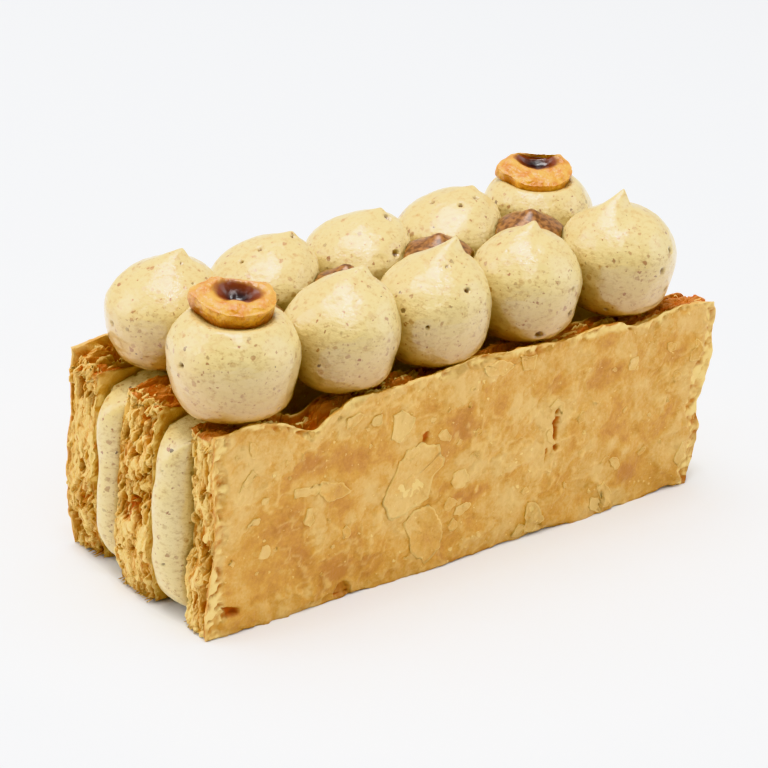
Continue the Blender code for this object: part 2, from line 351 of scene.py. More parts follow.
def make_pastry():
    material = bpy.data.materials.new("Baked puff pastry")
    material.use_nodes = True
    tree = material.node_tree
    surface = tree.nodes["Principled BSDF"]
    where = add(tree, "ShaderNodeTexCoord").outputs["Object"]
    pale = add(tree, "ShaderNodeAttribute", attribute_name="pale").outputs["Fac"]
    edge = add(tree, "ShaderNodeAttribute", attribute_name="edge").outputs["Fac"]
    deep = add(tree, "ShaderNodeAttribute", attribute_name="deep").outputs["Fac"]
    crumb = add(tree, "ShaderNodeAttribute", attribute_name="crumb").outputs["Fac"]

    # Uneven browning: broad clouds and smaller blotches, which paleness from the mesh pushes up or down.
    clouds = noise(tree, where, 11.0, Detail=4.0, Roughness=0.6)
    blotches = noise(tree, where, 3.2, Detail=3.0, Distortion=0.6)
    browning = calc(tree, "MULTIPLY_ADD", clouds, 0.65, 0.02)
    browning = calc(tree, "MULTIPLY_ADD", blotches, 0.3, browning)
    browning = calc(tree, "MULTIPLY_ADD", pale, 0.1, browning)
    mottling = noise(tree, where, 0.6, Detail=3.0, Roughness=0.7)
    browning = calc(tree, "MULTIPLY_ADD", mottling, 0.3, browning)
    browning = calc(tree, "SUBTRACT", browning, 0.15)
    to_gold = remap(tree, browning, 0.34, 0.5)
    to_pale = remap(tree, browning, 0.5, 0.68)
    toasted = blend(tree, to_gold, colour(PASTRY_TOASTED), colour(PASTRY_GOLD))
    baked = blend(tree, to_pale, toasted, colour(PASTRY_PALE))

    # The inside is moister than the skin and so more orange.
    inside = calc(tree, "MULTIPLY", crumb, 0.65)
    baked = blend(tree, inside, baked, colour(PASTRY_CRUMB))

    # A trimmed edge is striped: the leaves' edges run along the slab, half a millimetre apart. Proud ones get a
    # painted highlight, and the gaps between them the deep colour as painted shade, both following the bump
    # below.
    along = add(tree, "ShaderNodeMapping", {"Vector": where, "Scale": (0.2, 1.7, 0.2)})
    stripes = noise(tree, along.outputs[0], 1.0, Detail=5.0, Roughness=0.75, Distortion=0.6)
    lit = remap(tree, stripes, 0.46, 0.6, to_max=1.0)
    striped = add(tree, "ShaderNodeMath", {0: lit, 1: crumb, 2: edge}, operation="MULTIPLY_ADD")
    striped.use_clamp = True
    gap = remap(tree, stripes, 0.45, 0.34, to_max=0.6)
    deep = add(tree, "ShaderNodeMath", {0: gap, 1: crumb, 2: deep}, operation="MULTIPLY_ADD")
    deep.use_clamp = True

    # Painted highlight on proud edges, and in the gaps the deep colour: partly a deeper bake, partly painted
    # shade.
    worn_and_lit = blend(tree, striped.outputs[0], baked, colour(PASTRY_HIGHLIGHT))
    shown = blend(tree, deep.outputs[0], worn_and_lit, colour(PASTRY_DEEP_BAKE_AND_SHADE))
    # Loose crumbs of a few tenths of a millimetre all over the surface, each with a painted highlight.
    warp = add(tree, "ShaderNodeTexNoise", {"Vector": where, "Scale": per_millimetre(0.5), "Detail": 2.0})
    nudge = add(tree, "ShaderNodeVectorMath", {0: warp.outputs["Color"], "Scale": 0.9 * MILLIMETRE},
                operation="SCALE")
    uneven = combine(tree, "ADD", where, nudge.outputs[0])
    crumbs = add(tree, "ShaderNodeTexVoronoi", {"Vector": uneven, "Scale": per_millimetre(1.3)})
    chance, size, _ = add(tree, "ShaderNodeSeparateColor", {0: crumbs.outputs["Color"]}).outputs
    radius = calc(tree, "MULTIPLY_ADD", size, 0.26, 0.04)
    covers = calc(tree, "SUBTRACT", radius, crumbs.outputs["Distance"])
    dot = remap(tree, covers, from_max=0.1, to_max=0.7)
    held = calc(tree, "LESS_THAN", chance, 0.4)
    strewn = calc(tree, "MULTIPLY", dot, held)
    shown = blend(tree, strewn, shown, colour(PASTRY_HIGHLIGHT))

    # A dry, slightly blistered skin: blisters of about 1 mm, the loose crumbs, and the stripes of a trimmed
    # edge.
    blisters = noise(tree, where, 1.1, Detail=3.0, Roughness=0.65)
    ridged = calc(tree, "MULTIPLY", stripes, crumb)
    height = calc(tree, "MULTIPLY_ADD", ridged, 1.5, blisters)
    height = calc(tree, "MULTIPLY_ADD", strewn, 0.5, height)
    bump = add(tree, "ShaderNodeBump",
               {"Height": height, "Strength": 0.8, "Distance": 0.35 * MILLIMETRE})
    tree.links.new(shown, surface.inputs["Base Color"])
    tree.links.new(bump.outputs["Normal"], surface.inputs["Normal"])
    surface.inputs["Roughness"].default_value = 0.5
    surface.inputs["Specular IOR Level"].default_value = 0.35
    return material


PASTRY = make_pastry()
print(PASTRY.name, "has", len(PASTRY.node_tree.nodes), "nodes")

# %% [markdown]
# ## Whipped hazelnut cream
# Butter and cream whipped with hazelnut paste: pale beige, opaque, softly glossy where the nozzle smoothed it,
# with ground hazelnut skin in it. The specks are 0.2 to 1.2 mm wide, tan to nearly black, and the ones just
# under the surface look faint. A clear coat stands for the film of butter that gives it its small highlights.

# %% Whipped hazelnut cream
CREAM_BEIGE = "#DDCB92"
CREAM_WARM = "#CFB776"
CREAM_FOOT_SHADE = "#AE7C34"
PIT_SHADE = "#7C5526"
SPECK_TAN = "#A87C40"
SPECK_RED = "#8A4C20"
SPECK_DARK = "#452A10"

# spacing: how far apart the specks are, width: the radius of the widest, in mm. share: how many places hold
# one.
SpeckSize = collections.namedtuple("SpeckSize", "spacing width share light dark")
SPECK_SIZES = (
    SpeckSize(0.8, 0.28, 1.4, SPECK_TAN, SPECK_RED),
    SpeckSize(1.6, 0.6, 1.0, SPECK_TAN, SPECK_RED),
    SpeckSize(2.6, 0.55, 0.9, SPECK_RED, SPECK_DARK),
)


def make_cream():
    material = bpy.data.materials.new("Whipped hazelnut cream")
    material.use_nodes = True
    tree = material.node_tree
    surface = tree.nodes["Principled BSDF"]
    where = add(tree, "ShaderNodeTexCoord").outputs["Object"]
    clouds = noise(tree, where, 9.0, Detail=3.0)
    shown = blend(tree, clouds, colour(CREAM_BEIGE), colour(CREAM_WARM))
    # Lower down the cream is darker and warmer: painted shade and painted warm light thrown back by the pastry.
    foot = add(tree, "ShaderNodeAttribute", attribute_name="foot").outputs["Fac"]
    foot_amount = remap(tree, foot, 0.1, 1.0, to_max=0.95)
    shown = blend(tree, foot_amount, shown, colour(CREAM_FOOT_SHADE))
    # Finely milled skin just under the surface gives a faint, streaky mottling.
    streaky = add(tree, "ShaderNodeMapping", {"Vector": where, "Scale": (1.0, 1.0, 1.6)})
    milled = noise(tree, streaky.outputs[0], 1.2, Detail=4.0, Roughness=0.7)
    faint = remap(tree, milled, 0.5, 0.72, to_max=0.7)
    shown = blend(tree, faint, shown, colour(SPECK_TAN))
    # The specks are bits of skin and not round, so noise bends the space that they lie in.
    warp = add(tree, "ShaderNodeTexNoise", {"Vector": where, "Scale": per_millimetre(0.7), "Detail": 2.0})
    nudge = add(tree, "ShaderNodeVectorMath", {0: warp.outputs["Color"], "Scale": 0.9 * MILLIMETRE},
                operation="SCALE")
    uneven = combine(tree, "ADD", where, nudge.outputs[0])
    clusters = noise(tree, where, 4.0, Detail=2.0)
    crowded = calc(tree, "MULTIPLY_ADD", clusters, 1.6, -0.8)
    for specks in SPECK_SIZES:
        cells = add(tree, "ShaderNodeTexVoronoi",
                    {"Vector": uneven, "Scale": per_millimetre(specks.spacing)})
        red, green, blue = add(tree, "ShaderNodeSeparateColor", {0: cells.outputs["Color"]}).outputs
        size = remap(tree, red, to_min=0.35 * specks.width / specks.spacing,
                     to_max=specks.width / specks.spacing)
        inside = calc(tree, "SUBTRACT", size, cells.outputs["Distance"])
        spot = remap(tree, inside, from_max=0.1 / specks.spacing, to_max=0.85)
        chance = calc(tree, "ADD", green, crowded)
        held = remap(tree, chance, specks.share, 0.3 * specks.share)
        clear = remap(tree, blue, to_min=0.35, to_max=1.0)
        factor = calc(tree, "MULTIPLY", spot, held)
        factor = calc(tree, "MULTIPLY", factor, clear)
        tint = blend(tree, blue, colour(specks.light), colour(specks.dark))
        shown = blend(tree, factor, shown, tint)
    # Bubble pits are painted darker inside: painted shade.
    pit = add(tree, "ShaderNodeAttribute", attribute_name="pit").outputs["Fac"]
    shown = blend(tree, pit, shown, colour(PIT_SHADE))
    # The whipped surface is slightly drawn out along its rounds, so its grain is wider than it is high. It
    # lies on a gentle swell.
    drawn = add(tree, "ShaderNodeMapping", {"Vector": where, "Scale": (1.0, 1.0, 2.0)})
    grain = noise(tree, drawn.outputs[0], 1.2, Detail=3.0, Roughness=0.65)
    swell = noise(tree, drawn.outputs[0], 5.0, Detail=2.0)
    height = calc(tree, "MULTIPLY_ADD", swell, 2.5, grain)
    bump = add(tree, "ShaderNodeBump",
               {"Height": height, "Strength": 0.45, "Distance": 0.3 * MILLIMETRE})
    tree.links.new(shown, surface.inputs["Base Color"])
    tree.links.new(bump.outputs["Normal"], surface.inputs["Normal"])
    tree.links.new(bump.outputs["Normal"], surface.inputs["Coat Normal"])
    surface.inputs["Roughness"].default_value = 0.36
    surface.inputs["Specular IOR Level"].default_value = 0.6
    surface.inputs["Coat Weight"].default_value = 0.7
    surface.inputs["Coat Roughness"].default_value = 0.12
    return material


CREAM = make_cream()
print(CREAM.name, "has", len(CREAM.node_tree.nodes), "nodes")

# %% [markdown]
# ## Praline and caramelised hazelnut
# Praline is roasted hazelnut milled with caramel: a dense, oily, reddish-brown paste with a wet shine and fine
# grain. The nut halves were tossed in caramel, which lies over the pale flesh as a clear coat: amber on the
# rim, orange-brown underneath, and near black in the smooth hollow where the skin burnt. The mesh says where
# the hollow and the underside are.

# %% Praline
PRALINE_BROWN = "#966636"
PRALINE_DARK = "#643E1E"


def make_praline():
    material = bpy.data.materials.new("Hazelnut praline paste")
    material.use_nodes = True
    tree = material.node_tree
    surface = tree.nodes["Principled BSDF"]
    where = add(tree, "ShaderNodeTexCoord").outputs["Object"]
    grain = noise(tree, where, 0.9, Detail=4.0)
    dark = remap(tree, grain, 0.4, 0.6)
    shown = blend(tree, dark, colour(PRALINE_BROWN), colour(PRALINE_DARK))
    bump = add(tree, "ShaderNodeBump",
               {"Height": grain, "Strength": 0.25, "Distance": 0.2 * MILLIMETRE})
    tree.links.new(shown, surface.inputs["Base Color"])
    tree.links.new(bump.outputs["Normal"], surface.inputs["Normal"])
    surface.inputs["Roughness"].default_value = 0.3
    return material


PRALINE = make_praline()
print(PRALINE.name, "has", len(PRALINE.node_tree.nodes), "nodes")

# %% Caramelised hazelnut
NUT_AMBER = "#E2AE46"
NUT_GOLD = "#C07A22"
NUT_UNDER = "#964810"
NUT_RED = "#70300E"
NUT_BURNT = "#241010"


def make_nut_coat():
    material = bpy.data.materials.new("Caramelised roasted hazelnut")
    material.use_nodes = True
    tree = material.node_tree
    surface = tree.nodes["Principled BSDF"]
    where = add(tree, "ShaderNodeTexCoord").outputs["Object"]
    hollow = add(tree, "ShaderNodeAttribute", attribute_name="hollow").outputs["Fac"]
    under = add(tree, "ShaderNodeAttribute", attribute_name="under").outputs["Fac"]
    patches = noise(tree, where, 2.4, Detail=5.0, Roughness=0.65)
    golden = remap(tree, patches, 0.4, 0.6)
    rim = blend(tree, golden, colour(NUT_AMBER), colour(NUT_GOLD))
    side = blend(tree, under, rim, colour(NUT_UNDER))
    reddened = remap(tree, hollow, 0.03, 0.32)
    burnt = remap(tree, hollow, 0.36, 0.75)
    ring = blend(tree, reddened, side, colour(NUT_RED))
    shown = blend(tree, burnt, ring, colour(NUT_BURNT))
    sugar = noise(tree, where, 0.9, Detail=3.0)
    height = calc(tree, "MULTIPLY_ADD", patches, 1.5, sugar)
    rough = remap(tree, hollow, from_max=0.3, to_min=0.7, to_max=0.1)
    bump = add(tree, "ShaderNodeBump", {
        "Height": height, "Strength": rough, "Distance": 0.4 * MILLIMETRE})
    tree.links.new(shown, surface.inputs["Base Color"])
    tree.links.new(bump.outputs["Normal"], surface.inputs["Normal"])
    tree.links.new(bump.outputs["Normal"], surface.inputs["Coat Normal"])
    surface.inputs["Roughness"].default_value = 0.35
    surface.inputs["Coat Weight"].default_value = 0.5
    surface.inputs["Coat Roughness"].default_value = 0.18
    return material


NUT_COAT = make_nut_coat()
print(NUT_COAT.name, "has", len(NUT_COAT.node_tree.nodes), "nodes")

# %% [markdown]
# ## The slabs' outlines
# A baker trims each slab with a saw knife, so its ends and top are never quite straight: a bump or dip here and
# there, each given by its place, width and height. The outer slabs rise a little above the bed of the kisses
# along their outer edge only.

# %% Slab outlines
SLAB_HEIGHT = 40.0
BED_HEIGHT = 39.1
CORNER_INSET = 0.9

# outer: -1 where the front face shows, 1 where the back face does, 0 where cream covers both.
Slab = collections.namedtuple("Slab", "name front back left right top left_end right_end outer")
SLABS = (
    Slab(
        "pastry_front", -21.3, -13.6, -58.0, 59.2,
        ((-37.0, 5.5, -3.8), (2.0, 10.0, 1.1), (41.0, 6.0, -1.6), (60.0, 3.0, -1.6)),
        ((22.0, 7.0, -0.7), (5.0, 7.0, 0.7)),
        ((31.0, 6.0, 1.7), (18.0, 4.0, -0.5), (0.0, 4.0, -2.3)),
        -1,
    ),
    Slab(
        "pastry_middle", -5.3, 5.7, -60.2, 58.2,
        ((-20.0, 9.0, -0.5), (30.0, 8.0, -0.6)),
        ((12.0, 13.0, 0.9), (0.0, 5.0, -0.6), (40.0, 5.0, -1.6)),
        ((10.0, 8.0, 0.8), (27.0, 6.0, -0.6)),
        0,
    ),
    Slab(
        "pastry_back", 13.1, 22.1, -60.5, 58.8,
        ((-54.0, 9.0, 1.1), (10.0, 7.0, -1.5), (48.0, 6.0, 0.8)),
        ((17.0, 9.0, 0.8), (0.0, 5.0, -1.4)),
        ((24.0, 9.0, 1.0), (2.0, 5.0, -1.2)),
        1,
    ),
)


def mix(start, end, share):
    return start + (end - start) * share


def slab_top(slab, x, y):
    """The height of the slab's trimmed top."""
    height = SLAB_HEIGHT + bumps_at(x, slab.top)
    face = {-1: slab.front, 0: math.inf, 1: slab.back}[slab.outer]
    return mix(height, np.minimum(height, BED_HEIGHT), smooth_step(np.abs(y - face), 0.8, 2.6))


def slab_ends(slab, y, z):
    """Where the slab's left and right end are along X."""
    corner = CORNER_INSET * np.abs(2.0 * (y - slab.front) / (slab.back - slab.front) - 1.0) ** 2
    left = slab.left - bumps_at(z, slab.left_end) + corner
    right = slab.right + bumps_at(z, slab.right_end) - corner
    return left, right


for slab in SLABS:
    print(slab.name, "is", round(slab.back - slab.front, 1), "mm thick and",
          round(slab.right - slab.left, 1), "mm long")

# %% [markdown]
# ## The skin of a baked face
# The outer leaf bakes into one satin skin, but nowhere is it plain: thinner skins have torn away from it and
# left overlaps with crisp, ragged borders, steam has raised blisters, and a few cracks and holes show the
# toasted leaf below, with painted shade deep in them. The wrinkles' crests get a painted highlight. Overlaps
# come from cells whose borders are made ragged by noise. The large features are placed one by one, as a patch
# with a place, a size, a lift, and how pale or toasted it is.

# %% Torn overlaps
def torn_patches(x, z, size, seed):
    """Patches with ragged borders: each spot's patch value, 0 to 1, and how far it is from the border."""
    flat = np.column_stack([x, z, np.zeros_like(x)])
    torn_x = x + 0.12 * size * smooth_noise(flat, 0.45 * size, seed + 7, 4)
    torn_z = z + 0.12 * size * smooth_noise(flat, 0.45 * size, seed + 17, 4)
    cell_x = np.floor(torn_x / size).astype(np.int64)
    cell_z = np.floor(torn_z / size).astype(np.int64)
    nearest = np.full(len(x), np.inf)
    second = np.full(len(x), np.inf)
    value = np.zeros(len(x))
    for step_x, step_z in np.ndindex(3, 3):
        cells = np.column_stack([cell_x + step_x - 1, cell_z + step_z - 1, np.zeros_like(cell_x)])
        seed_x = (cells[:, 0] + 0.5 + 0.42 * cell_value(cells, seed)) * size
        seed_z = (cells[:, 1] + 0.5 + 0.42 * cell_value(cells, seed + 1)) * size
        distance = np.hypot(torn_x - seed_x, torn_z - seed_z)
        closer = distance < nearest
        second = np.where(closer, nearest, np.minimum(second, distance))
        value = np.where(closer, 0.5 + 0.5 * cell_value(cells, seed + 2), value)
        nearest = np.where(closer, distance, nearest)
    return value, (second - nearest) / 2.0


patch_value, patch_border = torn_patches(np.array((3.0, 9.0)), np.array((4.0, 8.0)), 9.0, 1)
print("two spots: value", patch_value.round(2), "border at", patch_border.round(2), "mm")

# %% Splinters
def splinters(spots, size, seed):
    """Uneven cells: the value, 0 to 1, of the one that each spot lies in, and how far in it is, in cells."""
    place = spots / np.array(size)
    cell = np.floor(place).astype(np.int64)
    nearest = np.full(len(spots), np.inf)
    second = np.full(len(spots), np.inf)
    value = np.zeros(len(spots))
    for step in np.ndindex(3, 3, 3):
        corner = cell + np.array(step) - 1
        offset = np.column_stack([cell_value(corner, seed + axis) for axis in range(3)])
        distance = np.linalg.norm(corner + 0.5 + 0.42 * offset - place, axis=1)
        closer = distance < nearest
        second = np.where(closer, nearest, np.minimum(second, distance))
        value = np.where(closer, 0.5 + 0.5 * cell_value(corner, seed + 3), value)
        nearest = np.minimum(nearest, distance)
    return value, (second - nearest) / 2.0


trial = splinters(np.array(((1.0, 2.0, 3.0), (4.0, 2.0, 3.0))), (6.0, 1.5, 6.0), 1)
print("two spots: value", trial[0].round(2), "and", trial[1].round(2), "cells in")

# %% Placed features of the front face
# x, z: its middle. width, height: its size. lift: how far it stands out. pale: 1 is pale, -1 is toasted.
Patch = collections.namedtuple("Patch", "x z width height lift pale")
FRONT_PATCHES = (
    Patch(-46.0, 13.0, 20.0, 26.0, 0.0, -0.35),
    Patch(-42.6, 32.8, 5.5, 8.2, 0.0, 1.0),
    Patch(-36.0, 28.5, 9.0, 6.0, 0.0, -0.9),
    Patch(-47.0, 24.0, 4.0, 5.0, 0.0, -0.7),
    Patch(-30.0, 5.5, 7.0, 7.0, 0.0, -1.2),
    Patch(32.5, 29.5, 11.5, 9.0, 0.0, -1.0),
    Patch(-1.5, 12.5, 14.0, 9.0, 0.0, -1.3),
    Patch(-4.0, 29.0, 9.0, 10.0, 0.0, -0.9),
    Patch(39.0, 7.0, 15.0, 7.0, 0.0, -1.1),
    Patch(13.0, 36.0, 14.0, 5.0, 0.0, 0.9),
    Patch(5.0, 33.0, 7.0, 8.0, 0.0, 0.9),
    Patch(28.0, 20.0, 9.0, 12.0, 0.0, 0.8),
    Patch(10.0, 25.5, 2.4, 7.5, 0.12, 1.5),
    Patch(-2.5, 12.4, 1.9, 2.2, 0.1, 1.3),
    Patch(1.4, 13.9, 1.2, 1.8, 0.1, 1.3),
    Patch(3.5, 12.2, 1.1, 1.4, 0.1, 1.2),
    Patch(35.5, 14.6, 4.6, 4.0, 0.0, 1.6),
    Patch(20.0, 21.5, 1.3, 9.0, -0.9, -3.0),
    Patch(17.9, 16.8, 0.8, 4.5, -0.4, -2.0),
    Patch(-11.0, 27.4, 1.4, 2.6, -0.6, -2.2),
    Patch(-18.4, 24.9, 0.7, 2.2, -0.4, -2.0),
    Patch(-52.9, 4.8, 3.4, 2.2, -1.2, -3.0),
    Patch(-28.0, 1.6, 3.6, 3.0, -0.9, -1.6),
    Patch(33.0, 3.0, 1.0, 5.0, -0.9, -2.4),
    Patch(26.0, 3.2, 19.0, 8.0, 0.5, 0.3),
    Patch(-44.0, 2.2, 26.0, 4.4, 0.35, 0.3),
)
print(len(FRONT_PATCHES), "patches, the largest", max(patch.width for patch in FRONT_PATCHES), "mm wide")


# %% The relief of a baked face
# size: how wide the overlaps are. lift: how far they stand out, both in mm. share: how much of the face
# they cover.
Overlap = collections.namedtuple("Overlap", "size lift share")
OVERLAPS = (Overlap(15.0, 0.2, 0.5), Overlap(8.0, 0.16, 0.4), Overlap(4.0, 0.14, 0.3),
            Overlap(2.2, 0.12, 0.16))
CRISP_BORDER = 0.3
SOFT_BORDER = 2.5
LOWEST_RELIEF = -2.0
HIGHEST_RELIEF = 1.3


def baked_skin(x, z, seed, patches):
    """How far a baked face stands out, in millimetres, and its pale, edge and deep attributes."""
    flat = np.column_stack([x, z, np.zeros_like(x)])
    relief = 0.45 * smooth_noise(flat, 15.0, seed) + 0.3 * smooth_noise(flat, 5.5, seed + 3, 3)
    pale = 0.45 * smooth_noise(flat, 9.0, seed + 5, 2)
    for order, overlap in enumerate(OVERLAPS):
        value, border = torn_patches(x, z, overlap.size, seed + 20 * (order + 1))
        raised = smooth_step(value, 1.0 - overlap.share, 1.0 - 0.8 * overlap.share)
        body = raised * smooth_step(border, 0.0, CRISP_BORDER)
        relief += overlap.lift * body
        pale += 1.1 * body * (value - 0.5) + 0.25 * body
    for order, patch in enumerate(patches):
        spread = np.hypot((x - patch.x) / patch.width * 2.0, (z - patch.z) / patch.height * 2.0)
        size = min(patch.width, patch.height)
        ragged = smooth_noise(flat, 0.5 * size + 0.4, seed + 100 + order, 3)
        inside = (1.0 - spread) * size / 2.0 + 0.22 * size * ragged
        body = smooth_step(inside, 0.0, CRISP_BORDER if patch.lift else SOFT_BORDER)
        relief += patch.lift * body
        pale = mix(pale, patch.pale, body)
    # Fine wrinkles run where the skin dried fastest, and small blisters stand in loose groups.
    wrinkles = 1.0 - np.abs(smooth_noise(flat, 2.6, seed + 9, 2))
    wrinkled = smooth_step(smooth_noise(flat, 12.0, seed + 11), -0.2, 0.5)
    relief += (0.23 * wrinkled * smooth_step(wrinkles, 0.6, 1.0)
               + 0.08 * smooth_noise(flat, 1.1, seed + 13, 2))
    # The wrinkles' crests get a painted highlight.
    edge = 0.3 * wrinkled * smooth_step(wrinkles, 0.8, 1.0)
    # The most toasted patches, the holes and cracks, take the deep colour: partly their toasted leaf, partly
    # painted shade.
    deep = smooth_step(-pale, 1.3, 2.2)
    return relief, pale, edge, deep


skin_values = baked_skin(np.linspace(-50.0, 50.0, 500), np.full(500, 20.0), 1, FRONT_PATCHES)
print("relief along the middle, in mm:", skin_values[0].min().round(2), "to", skin_values[0].max().round(2))


# %% Where the skin has worn away
# How wide the border is, how much that varies and over what length, in mm, and its splinters' size along X,
# Y and Z.
Border = collections.namedtuple("Border", "width swing pitch splinter")
END_BORDER = Border(2.6, 1.6, 5.0, (1.3, 1.3, 6.0))
TOP_BORDER = Border(1.1, 1.3, 4.0, (5.0, 1.3, 1.2))
BORDER_SOFTNESS = 0.25


def worn_border(x, z, from_end, from_top, seed):
    """How much skin is missing near a trimmed border, 0 to 1, and how deep the crumb lies there, in mm."""
    flat = np.column_stack([x, z, np.zeros_like(x)])
    worn_and_lit = []
    for order, (border, inwards) in enumerate(((END_BORDER, from_end), (TOP_BORDER, from_top))):
        reach = border.width + border.swing * smooth_noise(flat, border.pitch, seed + order, 3)
        worn_and_lit.append(1.0 - smooth_step(inwards, reach - BORDER_SOFTNESS, reach + BORDER_SOFTNESS))
    at_end, at_top = worn_and_lit
    # Its crumb is splintery: upright along the ends, level along the top.
    torn = flat + 0.5 * np.column_stack([smooth_noise(flat, 1.5, seed + 10 + axis, 2) for axis in range(3)])
    upright = splinters(torn, END_BORDER.splinter, seed + 2)[0]
    level = splinters(torn, TOP_BORDER.splinter, seed + 7)[0]
    depth = 0.1 + 0.6 * np.where(at_end > 0.0, upright, level) + 0.2 * smooth_noise(flat, 1.0, seed + 4, 2)
    return np.maximum(at_end, at_top), depth


trial = worn_border(np.full(3, -57.0), np.array((5.0, 20.0, 35.0)), np.ones(3), np.full(3, 9.0), 1)
print("worn, near an end:", trial[0].round(2))

# %% [markdown]
# ## The body of a slab
# A slab is one closed body: a baked skin on its outer face, and trimmed edges all round that show its crumb.
# Where the knife passed, the leaves are fused into ridges that run along the slab, with hollows where steam
# held them apart, deeper orange partly by their bake and partly by painted shade. The grid's cells are under
# 0.4 mm, so that torn edges come out crisp.

# %% The crumb of a trimmed edge
BROAD_SPLINTER = (9.0, 1.6, 9.0)
FINE_SPLINTER = (4.2, 0.8, 4.2)
SLIT_DEPTH = 1.3
HOLLOW_DEPTH = 2.2
POCKET_X = -30.5
POCKET_WIDTH = 5.0
POCKET_DEPTH = 3.4


def trimmed_crumb(spots, seed):
    """How far a trimmed edge lies inwards at each spot, in millimetres."""
    unique, back = np.unique(spots, axis=0, return_inverse=True)
    bent = unique.copy()
    bent[:, 1] += 0.9 * smooth_noise(unique, 9.0, seed, 2)
    bent += 0.4 * np.column_stack([smooth_noise(unique, 1.6, seed + 20 + axis, 2) for axis in range(3)])
    broad, from_border = splinters(bent, BROAD_SPLINTER, seed + 1)
    fine, _ = splinters(bent, FINE_SPLINTER, seed + 5)
    some_places = smooth_step(smooth_noise(unique, 6.0, seed + 9), -0.1, 0.2)
    open_slit = smooth_step(from_border, 0.16, 0.03) * some_places
    hollow = smooth_step(smooth_noise(bent * (0.19, 0.55, 0.19), 1.0, seed + 13, 3), 0.3, 0.42)
    grain = smooth_noise(unique, 0.9, seed + 15, 2)
    inwards = 0.1 + 0.8 * broad + 0.6 * fine + 0.25 * grain + SLIT_DEPTH * open_slit + HOLLOW_DEPTH * hollow
    return np.maximum(inwards, 0.0)[back.ravel()]


def pocket(slab, x, y):
    """How far the crumb behind the front skin has sunk: steam left an open pocket there."""
    if slab.outer != -1:
        return np.zeros(len(x))
    from_skin = y - slab.front
    across = smooth_step(from_skin, 0.5, 1.0) * (1.0 - smooth_step(from_skin, 3.0, 5.0))
    return POCKET_DEPTH * across * bumps_at(x, ((POCKET_X, POCKET_WIDTH, 1.0),))


trial_line = np.column_stack([np.full(400, -57.0), np.linspace(-5, 5, 400), np.full(400, 20.0)])
trial = trimmed_crumb(trial_line, 1)
print("crumb inwards, in mm:", trial.min().round(2), "to", trial.max().round(2))

# %% Slab bodies
SKIN_THICKNESS = 0.45
CREAM_GAP = 0.2
# How deep the crumb may lie at the cream and away from it.
SHALLOW = 0.8
DEEP = 6.8
# How far a trimmed border wanders in and out, over what length, and how far it is set back.
FRAY = 0.9
FRAY_LENGTH = 5.5
SET_BACK = 0.35
PLANE_STEP = 0.28
WIDE_STEP = 0.8
FINE_END = 9.0


def slab_seed(slab):
    return 40 * (SLABS.index(slab) + 1)


def face_patches(slab):
    return FRONT_PATCHES if slab.outer == -1 else ()


def length_steps(slab, step):
    """Steps along the slab. Where cream covers both faces, they are close near the ends only."""
    length = slab.right - slab.left
    if slab.outer:
        return np.linspace(0.0, 1.0, round(length / step) + 1)
    near = np.arange(0.0, FINE_END, step)
    far = np.linspace(FINE_END, length - FINE_END, round((length - 2.0 * FINE_END) / WIDE_STEP) + 1)
    return np.concatenate([near, far, length - near[::-1]]) / length


